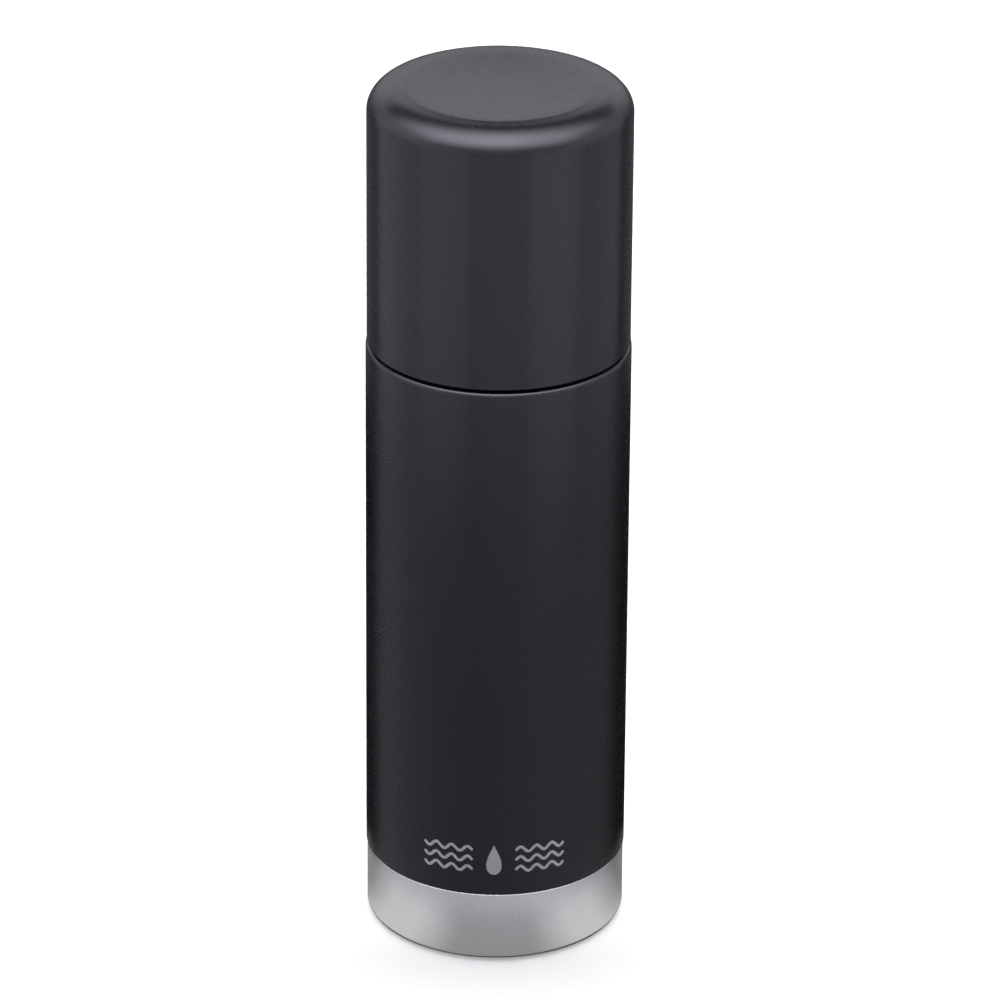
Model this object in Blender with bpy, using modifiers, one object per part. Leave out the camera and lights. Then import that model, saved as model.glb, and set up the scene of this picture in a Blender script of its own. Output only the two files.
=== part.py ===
"""Double-wall insulated flask with a screw-on drinking cup and a push-button screw stopper.

Metres, +Z up. The origin is the centre of the ring that the flask stands on.
Every piece is turned about the Z axis, so all profiles are lists of (radius, height).
"""
import math

import bmesh
import bpy

# --- general -------------------------------------------------------------
MM = 0.001
SEGMENTS = 32              # facets round a large turned piece
BUTTON_SEGMENTS = 24
FEW_SEGMENTS = 20          # facets round a small one
TOUCH = 0.3 * MM           # gap left between pieces that touch
EMBED = 0.3 * MM           # how far a thread ridge is sunk into its wall

# --- flask body ----------------------------------------------------------
BODY_RADIUS = 36.0 * MM
HEIGHT = 245.5 * MM
SHELL_WALL = 0.45 * MM
LEDGE_Z = 171.65 * MM      # shoulder ledge that the cup stands on
COAT_EDGE_Z = 20.8 * MM    # where the coated shell ends and the bare base begins
BASE_INSET = 0.27 * MM     # the bare base is this much smaller than the coated shell
FOOT_OUTER = 33.2 * MM     # flat ring that the flask stands on
FOOT_INNER = 31.2 * MM
RECESS_Z = 2.4 * MM        # underside of the base inside the foot ring
DIMPLE_Z = 3.6 * MM        # underside of the dimple round the evacuation hole
DIMPLE_RADIUS = 6.0 * MM
PORT_RADIUS = 1.0 * MM
VESSEL_RADIUS = 33.0 * MM  # outside of the inner vessel
VESSEL_WALL = 0.45 * MM
VESSEL_FLOOR_Z = 9.2 * MM
GETTER_OFFSET = 18.0 * MM  # the getter sits beside the evacuation hole

# --- neck ----------------------------------------------------------------
NECK_OUTER = 28.0 * MM
NECK_INNER = 22.5 * MM
NECK_WALL = 0.55 * MM
LIP_TOP_Z = 190.6 * MM
SEAT_RADIUS = 20.3 * MM    # inside of the rolled bead that the stopper's gasket sits on
SEAT_TOP_Z = 172.6 * MM

# --- threads: two starts each, right-handed ------------------------------
STARTS = 2
RIDGE_HEIGHT = 1.1 * MM
RIDGE_STEP = math.radians(11.25)
CUP_LEAD = 12.0 * MM
CUP_RIDGE_TURNS = 0.8
CUP_RIDGE_Z = 176.2 * MM
STOPPER_LEAD = 10.0 * MM
STOPPER_RIDGE_TURNS = 0.75
STOPPER_RIDGE_Z = 178.0 * MM

# --- stopper -------------------------------------------------------------
PLUG_RADIUS = 20.9 * MM
PLUG_BORE = 18.4 * MM
NOSE_RADIUS = 19.5 * MM
NOSE_Z = 171.0 * MM        # underside of the nose, the valve's seat
NOSE_BORE = 13.0 * MM
DECK_Z = 195.2 * MM
DECK_THICKNESS = 1.6 * MM
DECK_RADIUS = 23.2 * MM
CAP_RADIUS = 25.6 * MM
CAP_TOP_Z = 204.0 * MM
CAP_FLUTES = 10
FLUTE_DEPTH = 0.7 * MM
WINDOW_LOW_Z = 191.4 * MM
WINDOW_WIDTH = 14.0 * MM
BUTTON_RADIUS = 10.5 * MM
BUTTON_TOP_Z = 205.2 * MM
STEM_RADIUS = 2.5 * MM
SPRING_RADIUS = 6.6 * MM
SPRING_WIRE = 0.45 * MM
SPRING_COILS = 3.5

# --- cup -----------------------------------------------------------------
CUP_RADIUS = 35.69 * MM
CUP_WALL = 0.45 * MM
CUP_EDGE_Z = 172.55 * MM
CROWN_RADIUS = 25.2 * MM   # highest ring of the cup, round its dished top
DISH_DEPTH = 0.4 * MM
DISH_SLOPE = 0.03          # slope of the dish where it meets the crown
CROWN_FALL = 0.12          # slope just outside the crown
CORNER_WIDTH = 7.16 * MM   # elliptical outer corner
CORNER_DROP = 6.66 * MM
CORNER_TOP_Z = 245.09 * MM
LINER_RADIUS = 33.6 * MM
LINER_FLOOR_Z = 237.0 * MM
COLLAR_ROOT = 29.5 * MM
COLLAR_TOP_Z = 188.5 * MM

# --- materials: base colour, metallic, roughness --------------------------
FINISHES = {
    "powder_coat": ((0.030, 0.031, 0.035), 0.0, 0.45),
    "bare_steel": ((0.55, 0.55, 0.56), 1.0, 0.30),
    "inner_steel": ((0.62, 0.62, 0.62), 1.0, 0.22),
    "foil": ((0.80, 0.80, 0.81), 1.0, 0.20),
    "getter": ((0.35, 0.35, 0.36), 0.8, 0.60),
    "black_plastic": ((0.035, 0.035, 0.037), 0.0, 0.50),
    "grey_plastic": ((0.30, 0.31, 0.32), 0.0, 0.45),
    "silicone": ((0.55, 0.56, 0.57), 0.0, 0.60),
    "dark_silicone": ((0.025, 0.025, 0.025), 0.0, 0.65),
    "solder": ((0.50, 0.46, 0.38), 0.6, 0.45),
}


def clear_scene():
    for obj in list(bpy.data.objects):
        bpy.data.objects.remove(obj, do_unlink=True)


def new_collection(name):
    collection = bpy.data.collections.new(name)
    bpy.context.scene.collection.children.link(collection)
    return collection


def make_materials():
    materials = {}
    for name, (colour, metallic, roughness) in FINISHES.items():
        material = bpy.data.materials.new(name)
        material.use_nodes = True
        shader = material.node_tree.nodes["Principled BSDF"]
        shader.inputs["Base Color"].default_value = (*colour, 1.0)
        shader.inputs["Metallic"].default_value = metallic
        shader.inputs["Roughness"].default_value = roughness
        material.diffuse_color = (*colour, 1.0)
        materials[name] = material
    return materials


# --- outline helpers -------------------------------------------------------
def arc(centre_r, centre_z, radius_r, radius_z, start_deg, end_deg, steps):
    """Points on an elliptical arc; 0 degrees points outward and 90 degrees up."""
    points = []
    for i in range(steps + 1):
        angle = math.radians(start_deg + (end_deg - start_deg) * i / steps)
        points.append((centre_r + radius_r * math.cos(angle), centre_z + radius_z * math.sin(angle)))
    return points


def hermite(start, start_slope, end, end_slope, steps):
    """Points on a cubic from start to end with the given slopes dz/dr, both ends included."""
    width = end[0] - start[0]
    points = []
    for i in range(steps + 1):
        t = i / steps
        z = (
            (2 * t**3 - 3 * t**2 + 1) * start[1]
            + (t**3 - 2 * t**2 + t) * width * start_slope
            + (3 * t**2 - 2 * t**3) * end[1]
            + (t**3 - t**2) * width * end_slope
        )
        points.append((start[0] + width * t, z))
    return points


# --- solid helpers ---------------------------------------------------------
def add_piece(name, mesh, material, collection):
    obj = bpy.data.objects.new(name, mesh)
    collection.objects.link(obj)
    if material is not None:
        mesh.materials.append(material)
    return obj


def turned(name, profile, material, collection, on_axis=False, steps=SEGMENTS):
    """Turn a profile that runs down its outer side; a ring closes on itself, a disc on the axis."""
    mesh = bpy.data.meshes.new(name)
    vertices = [(radius, 0.0, height) for radius, height in profile]
    edges = [(i, i + 1) for i in range(len(profile) - 1)]
    if not on_axis:
        edges.append((len(profile) - 1, 0))
    mesh.from_pydata(vertices, edges, [])
    obj = add_piece(name, mesh, material, collection)
    screw = obj.modifiers.new("turn", "SCREW")
    screw.axis = "Z"
    screw.angle = math.tau
    screw.steps = steps
    screw.render_steps = steps
    screw.use_merge_vertices = True
    screw.merge_threshold = 0.00001
    screw.use_smooth_shade = True
    return obj


def baked(obj):
    """Replace an object's mesh by its evaluated one, so that its vertices can be edited."""
    depsgraph = bpy.context.evaluated_depsgraph_get()
    mesh = bpy.data.meshes.new_from_object(obj.evaluated_get(depsgraph))
    obj.modifiers.clear()
    obj.data = mesh
    return obj


def boolean(obj, tool, operation):
    modifier = obj.modifiers.new(operation.lower(), "BOOLEAN")
    modifier.operation = operation
    modifier.solver = "EXACT"
    modifier.object = tool


def hide_tool(tool):
    tool.hide_render = True
    tool.display_type = "WIRE"


def thread_ridge(name, wall_radius, outward, low_z, turns, lead, start_angle, tools):
    """One thread start: a helical ridge whose height fades to nothing at both ends."""
    root_half = 1.15 * MM
    crest_half = 0.5 * MM
    fade = 0.12
    side = 1.0 if outward else -1.0
    sections = int(round(turns * math.tau / RIDGE_STEP))
    rings = []
    bm = bmesh.new()
    for i in range(sections + 1):
        part = i / sections
        angle = start_angle + part * turns * math.tau
        middle = low_z + root_half + part * turns * lead
        swell = min(1.0, part / fade, (1.0 - part) / fade)
        crest = wall_radius + side * (RIDGE_HEIGHT * swell - 0.5 * EMBED * (1.0 - swell))
        root = wall_radius - side * EMBED
        section = [
            (root, middle - root_half),
            (crest, middle - crest_half),
            (crest, middle + crest_half),
            (root, middle + root_half),
        ]
        ring = [bm.verts.new((r * math.cos(angle), r * math.sin(angle), z)) for r, z in section]
        rings.append(ring)
    for near, far in zip(rings, rings[1:]):
        for j in range(4):
            k = (j + 1) % 4
            bm.faces.new((near[j], near[k], far[k], far[j]))
    bm.faces.new(rings[0])
    bm.faces.new(list(reversed(rings[-1])))
    bmesh.ops.recalc_face_normals(bm, faces=bm.faces)
    mesh = bpy.data.meshes.new(name)
    bm.to_mesh(mesh)
    bm.free()
    tool = add_piece(name, mesh, None, tools)
    hide_tool(tool)
    return tool


def add_thread(obj, wall_radius, outward, low_z, turns, lead, phase, tools):
    for start in range(STARTS):
        angle = phase + start * math.tau / STARTS
        name = f"{obj.name}_thread_{start + 1}"
        ridge = thread_ridge(name, wall_radius, outward, low_z, turns, lead, angle, tools)
        boolean(obj, ridge, "UNION")


def box_tool(name, low, high, tools):
    mesh = bpy.data.meshes.new(name)
    bm = bmesh.new()
    bmesh.ops.create_cube(bm, size=1.0)
    for vertex in bm.verts:
        for axis in range(3):
            vertex.co[axis] = low[axis] + (vertex.co[axis] + 0.5) * (high[axis] - low[axis])
    bm.to_mesh(mesh)
    bm.free()
    tool = add_piece(name, mesh, None, tools)
    hide_tool(tool)
    return tool


# --- flask body ------------------------------------------------------------
def make_outer_shell(materials, parts, tools):
    """Coated outer tube: side wall, rounded shoulder, ledge and threaded neck."""
    edge = 1.1 * MM
    outside = [(NECK_OUTER, LIP_TOP_Z - 1.3 * MM)]
    outside += arc(NECK_OUTER + 1.6 * MM, LEDGE_Z + 1.6 * MM, 1.6 * MM, 1.6 * MM, 180, 270, 3)
    outside += arc(BODY_RADIUS - edge, LEDGE_Z - edge, edge, edge, 90, 0, 4)
    outside.append((BODY_RADIUS, COAT_EDGE_Z))
    bore = BODY_RADIUS - SHELL_WALL
    inside = [
        (bore, COAT_EDGE_Z),
        (bore, LEDGE_Z - edge),
        (bore - 0.5 * MM, LEDGE_Z - SHELL_WALL),
        (NECK_OUTER + 1.0 * MM, LEDGE_Z - SHELL_WALL),
        (NECK_OUTER - NECK_WALL, LEDGE_Z + 1.2 * MM),
        (NECK_OUTER - NECK_WALL, LIP_TOP_Z - 1.3 * MM),
    ]
    obj = turned("outer_shell", outside + inside, materials["powder_coat"], parts)
    add_thread(obj, NECK_OUTER, True, CUP_RIDGE_Z, CUP_RIDGE_TURNS, CUP_LEAD, 0.0, tools)


def make_base(materials, parts):
    """Bare steel base cup with its foot ring, evacuation dimple, seal bead and cover disc."""
    outer = BODY_RADIUS - BASE_INSET
    wall = SHELL_WALL
    spigot = BODY_RADIUS - SHELL_WALL - TOUCH
    corner_r = outer - FOOT_OUTER
    band_top = COAT_EDGE_Z - TOUCH
    outside = [
        (spigot, band_top + 5.0 * MM),
        (spigot, band_top),
        (outer - 0.2 * MM, band_top),
        (outer, band_top - 0.2 * MM),
    ]
    outside += arc(FOOT_OUTER, corner_r, corner_r, corner_r, 0, -90, 4)
    outside += [
        (FOOT_INNER, 0.0),
        (FOOT_INNER - 1.8 * MM, RECESS_Z),
        (DIMPLE_RADIUS + 1.0 * MM, RECESS_Z),
        (DIMPLE_RADIUS, DIMPLE_Z),
        (PORT_RADIUS, DIMPLE_Z),
    ]
    inside = [
        (PORT_RADIUS, DIMPLE_Z + wall),
        (DIMPLE_RADIUS + 0.3 * MM, DIMPLE_Z + wall),
        (DIMPLE_RADIUS + 1.3 * MM, RECESS_Z + wall),
        (FOOT_INNER - 1.4 * MM, RECESS_Z + wall),
        (FOOT_INNER + 0.3 * MM, wall),
        (FOOT_OUTER, wall),
    ]
    inside += arc(FOOT_OUTER, corner_r, corner_r - wall, corner_r - wall, -60, 0, 2)
    inside += [
        (outer - wall, band_top - 1.5 * MM),
        (spigot - wall, band_top),
        (spigot - wall, band_top + 5.0 * MM),
    ]
    turned("base_cup", outside + inside, materials["bare_steel"], parts)

    bead_top = DIMPLE_Z - TOUCH
    bead = [(0.0, bead_top), (2.2 * MM, bead_top), (2.6 * MM, bead_top - 0.4 * MM)]
    bead += [(1.4 * MM, bead_top - 0.9 * MM), (0.0, bead_top - 1.0 * MM)]
    solder = materials["solder"]
    turned("vacuum_seal_bead", bead, solder, parts, on_axis=True, steps=FEW_SEGMENTS)

    disc_radius = FOOT_INNER - 2.6 * MM
    disc_top = RECESS_Z - TOUCH
    disc = [
        (0.0, disc_top),
        (disc_radius - 0.2 * MM, disc_top),
        (disc_radius, disc_top - 0.2 * MM),
        (disc_radius - 0.3 * MM, disc_top - 0.6 * MM),
        (0.0, disc_top - 0.6 * MM),
    ]
    turned("base_cover", disc, materials["bare_steel"], parts, on_axis=True)


def make_getter(materials, parts):
    """Gas getter: a small stamped clip under the inner vessel, holding one pellet."""
    floor = RECESS_Z + SHELL_WALL + TOUCH
    clip_profile = [
        (0.0, floor + 0.4 * MM),
        (4.6 * MM, floor + 0.4 * MM),
        (4.6 * MM, floor + 3.2 * MM),
        (5.0 * MM, floor + 3.2 * MM),
        (5.0 * MM, floor),
        (0.0, floor),
    ]
    steel = materials["inner_steel"]
    clip = turned("getter_clip", clip_profile, steel, parts, on_axis=True, steps=FEW_SEGMENTS)
    pellet_profile = [
        (0.0, floor + 3.4 * MM),
        (3.9 * MM, floor + 3.4 * MM),
        (4.2 * MM, floor + 3.1 * MM),
        (4.2 * MM, floor + 0.4 * MM + TOUCH),
        (0.0, floor + 0.4 * MM + TOUCH),
    ]
    powder = materials["getter"]
    pellet = turned("getter_pellet", pellet_profile, powder, parts, on_axis=True, steps=FEW_SEGMENTS)
    for obj in (clip, pellet):
        obj.location.x = GETTER_OFFSET


def make_inner_vessel(materials, parts, tools):
    """Inner bottle: rolled lip, threaded neck, gasket seat, shoulder and side wall."""
    wall = VESSEL_WALL
    neck_out = NECK_INNER + NECK_WALL
    bore = VESSEL_RADIUS - wall
    lip_under = LIP_TOP_Z - 1.0 * MM
    outside = [
        (NECK_INNER + 0.6 * MM, LIP_TOP_Z),
        (NECK_OUTER - 0.6 * MM, LIP_TOP_Z),
        (NECK_OUTER - 0.1 * MM, LIP_TOP_Z - 0.5 * MM),
        (NECK_OUTER - 0.3 * MM, lip_under),
        (neck_out + 0.5 * MM, lip_under),
        (neck_out, lip_under - 0.5 * MM),
        (neck_out, SEAT_TOP_Z + 0.6 * MM),
        (SEAT_RADIUS + NECK_WALL, SEAT_TOP_Z - 0.9 * MM),
        (SEAT_RADIUS + NECK_WALL, SEAT_TOP_Z - 2.2 * MM),
    ]
    outside += arc(VESSEL_RADIUS - 9.0 * MM, 158.5 * MM, 9.0 * MM, 9.0 * MM, 78, 0, 5)
    tube_end = VESSEL_FLOOR_Z + 6.0 * MM
    outside.append((VESSEL_RADIUS, tube_end))
    inside = [(bore, tube_end)]
    inside += arc(VESSEL_RADIUS - 9.0 * MM, 158.5 * MM, 9.0 * MM - wall, 9.0 * MM - wall, 0, 74, 5)
    inside += [
        (SEAT_RADIUS, SEAT_TOP_Z - 3.0 * MM),
        (SEAT_RADIUS, SEAT_TOP_Z),
        (NECK_INNER, SEAT_TOP_Z),
        (NECK_INNER, LIP_TOP_Z - 0.5 * MM),
    ]
    obj = turned("inner_vessel", outside + inside, materials["inner_steel"], parts)
    add_thread(
        obj, NECK_INNER, False, STOPPER_RIDGE_Z, STOPPER_RIDGE_TURNS, STOPPER_LEAD, 0.0, tools
    )

    skirt = bore - TOUCH
    dome = [
        (0.0, VESSEL_FLOOR_Z + 1.6 * MM),
        (16.0 * MM, VESSEL_FLOOR_Z + 1.1 * MM),
        (skirt - 5.0 * MM, VESSEL_FLOOR_Z),
        (skirt - 1.8 * MM, VESSEL_FLOOR_Z + 1.2 * MM),
        (skirt - wall, VESSEL_FLOOR_Z + 4.0 * MM),
        (skirt - wall, VESSEL_FLOOR_Z + 9.0 * MM),
        (skirt, VESSEL_FLOOR_Z + 9.0 * MM),
        (skirt, VESSEL_FLOOR_Z + 3.8 * MM),
        (skirt - 1.4 * MM, VESSEL_FLOOR_Z + 0.6 * MM),
        (skirt - 4.8 * MM, VESSEL_FLOOR_Z - wall),
        (16.0 * MM, VESSEL_FLOOR_Z + 0.5 * MM),
        (0.0, VESSEL_FLOOR_Z + 1.0 * MM),
    ]
    turned("inner_base", dome, materials["inner_steel"], parts, on_axis=True)


def make_foil(materials, parts):
    """Radiation shield wrapped round the inner vessel, inside the vacuum."""
    inner = VESSEL_RADIUS + TOUCH
    outer = inner + 0.2 * MM
    profile = [
        (outer, 156.0 * MM),
        (outer, 26.0 * MM),
        (inner, 26.0 * MM),
        (inner, 156.0 * MM),
    ]
    turned("radiation_foil", profile, materials["foil"], parts)


# --- stopper ---------------------------------------------------------------
def make_stopper(materials, parts, tools):
    """Threaded plug, fluted cap, lower gasket, stem guide and stem wiper."""
    shoulder_z = SEAT_TOP_Z + 2.7 * MM
    deck_top = DECK_Z + DECK_THICKNESS
    gland_outer = 6.4 * MM
    gland_low = DECK_Z - 3.0 * MM
    stem_hole = STEM_RADIUS + 0.5 * MM
    plug = [
        (DECK_RADIUS, deck_top),
        (DECK_RADIUS, DECK_Z),
        (PLUG_RADIUS, DECK_Z),
        (PLUG_RADIUS, shoulder_z),
        (NOSE_RADIUS, shoulder_z),
        (NOSE_RADIUS, NOSE_Z + 0.4 * MM),
        (NOSE_RADIUS - 0.4 * MM, NOSE_Z),
        (NOSE_BORE, NOSE_Z),
        (NOSE_BORE, NOSE_Z + 1.4 * MM),
        (PLUG_BORE - 1.4 * MM, NOSE_Z + 2.0 * MM),
        (PLUG_BORE - 1.4 * MM, shoulder_z + 1.6 * MM),
        (PLUG_BORE, shoulder_z + 1.6 * MM),
        (PLUG_BORE, DECK_Z),
        (gland_outer, DECK_Z),
        (gland_outer, gland_low),
        (gland_outer - 1.4 * MM, gland_low),
        (gland_outer - 1.4 * MM, DECK_Z),
        (stem_hole, DECK_Z),
        (stem_hole, deck_top),
    ]
    body = turned("stopper_body", plug, materials["grey_plastic"], parts)
    add_thread(
        body,
        PLUG_RADIUS,
        True,
        STOPPER_RIDGE_Z - 0.5 * STOPPER_LEAD / STARTS,
        STOPPER_RIDGE_TURNS,
        STOPPER_LEAD,
        0.0,
        tools,
    )
    for side, name in ((1.0, "pour_window"), (-1.0, "air_window")):
        low = (min(side * 15.0 * MM, side * 24.0 * MM), -0.5 * WINDOW_WIDTH, WINDOW_LOW_Z)
        high = (max(side * 15.0 * MM, side * 24.0 * MM), 0.5 * WINDOW_WIDTH, DECK_Z - 0.4 * MM)
        boolean(body, box_tool(name, low, high, tools), "DIFFERENCE")

    cap = [
        (BUTTON_RADIUS + 0.4 * MM, CAP_TOP_Z),
        (CAP_RADIUS - 1.5 * MM, CAP_TOP_Z),
        (CAP_RADIUS, CAP_TOP_Z - 1.5 * MM),
        (CAP_RADIUS, DECK_Z - TOUCH),
        (DECK_RADIUS + TOUCH, DECK_Z - TOUCH),
        (DECK_RADIUS + TOUCH, CAP_TOP_Z - 2.6 * MM),
        (DECK_RADIUS - 0.7 * MM, CAP_TOP_Z - 1.6 * MM),
        (BUTTON_RADIUS + 0.4 * MM, CAP_TOP_Z - 1.6 * MM),
    ]
    grip = baked(turned("stopper_cap", cap, materials["black_plastic"], parts))
    for vertex in grip.data.vertices:
        radius = math.hypot(vertex.co.x, vertex.co.y)
        if radius > DECK_RADIUS + 2.0 * TOUCH:
            angle = math.atan2(vertex.co.y, vertex.co.x)
            cut = FLUTE_DEPTH * (0.5 - 0.5 * math.cos(CAP_FLUTES * angle))
            vertex.co.x *= (radius - cut) / radius
            vertex.co.y *= (radius - cut) / radius

    gasket_low = SEAT_TOP_Z + TOUCH
    gasket_high = shoulder_z - TOUCH
    gasket_radius = NECK_INNER - RIDGE_HEIGHT - TOUCH    # it passes inside the neck's thread
    gasket = [
        (gasket_radius - 0.4 * MM, gasket_high),
        (gasket_radius, gasket_high - 0.4 * MM),
        (gasket_radius, gasket_low + 0.4 * MM),
        (gasket_radius - 0.4 * MM, gasket_low),
        (NOSE_RADIUS + TOUCH, gasket_low),
        (NOSE_RADIUS + TOUCH, gasket_high),
    ]
    turned("stopper_seal", gasket, materials["silicone"], parts)

    guide_z = shoulder_z + 1.6 * MM + TOUCH
    ring = [
        (PLUG_BORE - TOUCH, guide_z + 2.4 * MM),
        (PLUG_BORE - TOUCH, guide_z),
        (PLUG_BORE - 1.9 * MM, guide_z),
        (PLUG_BORE - 1.9 * MM, guide_z + 2.4 * MM),
    ]
    guide = turned("stem_guide", ring, materials["grey_plastic"], parts)
    hub_profile = [
        (4.4 * MM, guide_z + 5.0 * MM),
        (4.4 * MM, guide_z),
        (STEM_RADIUS + 0.3 * MM, guide_z),
        (STEM_RADIUS + 0.3 * MM, guide_z + 5.0 * MM),
    ]
    hub = turned("guide_hub", hub_profile, None, tools, steps=FEW_SEGMENTS)
    hide_tool(hub)
    boolean(guide, hub, "UNION")
    half = 0.8 * MM
    inner = STEM_RADIUS + 1.0 * MM
    outer = PLUG_BORE - 1.2 * MM
    for index, (x, y) in enumerate(((1, 0), (0, 1), (-1, 0), (0, -1))):
        corners = [
            (x * inner - abs(y) * half, y * inner - abs(x) * half),
            (x * outer + abs(y) * half, y * outer + abs(x) * half),
        ]
        low = [min(corners[0][k], corners[1][k]) for k in range(2)] + [guide_z + 0.3 * MM]
        high = [max(corners[0][k], corners[1][k]) for k in range(2)] + [guide_z + 2.0 * MM]
        boolean(guide, box_tool(f"guide_spoke_{index + 1}", low, high, tools), "UNION")

    wiper = [
        (gland_outer - 1.4 * MM - TOUCH, DECK_Z - TOUCH),
        (gland_outer - 1.4 * MM - TOUCH, gland_low + 0.3 * MM),
        (STEM_RADIUS + TOUCH, gland_low + 0.3 * MM),
        (STEM_RADIUS + TOUCH, DECK_Z - TOUCH),
    ]
    turned("stem_seal", wiper, materials["silicone"], parts, steps=FEW_SEGMENTS)


def make_valve(materials, parts):
    """Push button, its spring, and the stem that carries the valve plate and its seal."""
    roof = BUTTON_TOP_Z - 1.6 * MM
    flange_top = CAP_TOP_Z - 1.6 * MM - 0.5 * MM
    flange_low = flange_top - 1.5 * MM
    inner = BUTTON_RADIUS - 1.6 * MM
    socket = STEM_RADIUS + 1.5 * MM
    button = [
        (0.0, BUTTON_TOP_Z - 0.5 * MM),
        (BUTTON_RADIUS - 3.0 * MM, BUTTON_TOP_Z - 0.2 * MM),
        (BUTTON_RADIUS - 1.0 * MM, BUTTON_TOP_Z),
        (BUTTON_RADIUS - 0.2 * MM, BUTTON_TOP_Z - 0.7 * MM),
        (BUTTON_RADIUS, flange_top),
        (BUTTON_RADIUS + 1.7 * MM, flange_top),
        (BUTTON_RADIUS + 1.7 * MM, flange_low),
        (inner, flange_low),
        (inner, roof),
        (socket, roof),
        (socket, roof - 2.0 * MM),
        (STEM_RADIUS + TOUCH, roof - 2.0 * MM),
        (STEM_RADIUS + TOUCH, roof),
        (0.0, roof),
    ]
    black = materials["black_plastic"]
    turned("push_button", button, black, parts, on_axis=True, steps=BUTTON_SEGMENTS)

    seal_top = NOSE_Z - TOUCH
    plate_top = seal_top - 1.6 * MM - TOUCH
    plate_low = plate_top - 2.4 * MM
    stem_low = plate_low + 0.6 * MM
    stem = [
        (0.0, roof - TOUCH),
        (STEM_RADIUS, roof - TOUCH),
        (STEM_RADIUS, stem_low),
        (0.0, stem_low),
    ]
    grey = materials["grey_plastic"]
    turned("valve_stem", stem, grey, parts, on_axis=True, steps=FEW_SEGMENTS)
    plate = [
        (0.0, stem_low - TOUCH),
        (STEM_RADIUS + TOUCH, stem_low - TOUCH),
        (STEM_RADIUS + TOUCH, plate_top + 2.4 * MM),
        (6.0 * MM, plate_top + 2.4 * MM),
        (6.0 * MM, plate_top + 0.1 * MM),
        (NOSE_BORE + 3.4 * MM, plate_top),
        (NOSE_BORE + 3.4 * MM, plate_top - 1.0 * MM),
        (NOSE_BORE + 2.0 * MM, plate_low),
        (0.0, plate_low),
    ]
    turned("valve_plate", plate, grey, parts, on_axis=True, steps=BUTTON_SEGMENTS)
    seal = [
        (NOSE_BORE + 3.0 * MM, seal_top),
        (NOSE_BORE + 4.4 * MM, seal_top - 0.6 * MM),
        (NOSE_BORE + 4.4 * MM, plate_top + TOUCH + 0.4 * MM),
        (NOSE_BORE + 3.8 * MM, plate_top + TOUCH),
        (NOSE_BORE - 1.0 * MM, plate_top + 0.1 * MM + TOUCH),
        (NOSE_BORE - 1.0 * MM, seal_top),
    ]
    turned("valve_seal", seal, materials["silicone"], parts, steps=BUTTON_SEGMENTS)

    low_z = DECK_Z + DECK_THICKNESS + SPRING_WIRE + 0.2 * MM
    high_z = roof - SPRING_WIRE - 0.2 * MM
    curve = bpy.data.curves.new("button_spring", "CURVE")
    curve.dimensions = "3D"
    curve.bevel_depth = SPRING_WIRE
    curve.bevel_resolution = 1
    curve.use_fill_caps = True
    points_per_coil = 10
    count = int(SPRING_COILS * points_per_coil) + 1
    spline = curve.splines.new("POLY")
    spline.points.add(count - 1)
    for i, point in enumerate(spline.points):
        angle = math.tau * i / points_per_coil
        height = low_z + (high_z - low_z) * i / (count - 1)
        place = (SPRING_RADIUS * math.cos(angle), SPRING_RADIUS * math.sin(angle), height, 1.0)
        point.co = place
    spring = bpy.data.objects.new("button_spring", curve)
    parts.objects.link(spring)
    curve.materials.append(materials["bare_steel"])


# --- cup -------------------------------------------------------------------
def cup_top(offset, steps):
    """Outline of the cup's top from the axis to the side wall, moved inward by offset."""
    centre_z = CORNER_TOP_Z - CORNER_DROP
    centre_r = CUP_RADIUS - CORNER_WIDTH
    join_deg = 66.5
    join = arc(centre_r, centre_z, CORNER_WIDTH - offset, CORNER_DROP - offset, join_deg, 0, steps)
    turn = math.radians(join_deg)
    slope = -CORNER_DROP / CORNER_WIDTH * math.cos(turn) / math.sin(turn)
    crown_z = HEIGHT - offset
    ridge_start = (CROWN_RADIUS - 2.7 * MM, crown_z - 0.035 * MM)
    dish_z = crown_z - DISH_DEPTH
    dish = hermite((0.0, dish_z), 0.0, ridge_start, DISH_SLOPE, 3)
    ridge = hermite(ridge_start, DISH_SLOPE, (CROWN_RADIUS, crown_z), 0.0, 1)
    outside_crown = (CROWN_RADIUS + 1.0 * MM, crown_z - 0.06 * MM)
    fall = hermite((CROWN_RADIUS, crown_z), 0.0, outside_crown, -CROWN_FALL, 1)
    shoulder = hermite(outside_crown, -CROWN_FALL, join[0], slope, 3)
    return dish + ridge[1:] + fall[1:] + shoulder[1:] + join[1:]


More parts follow.
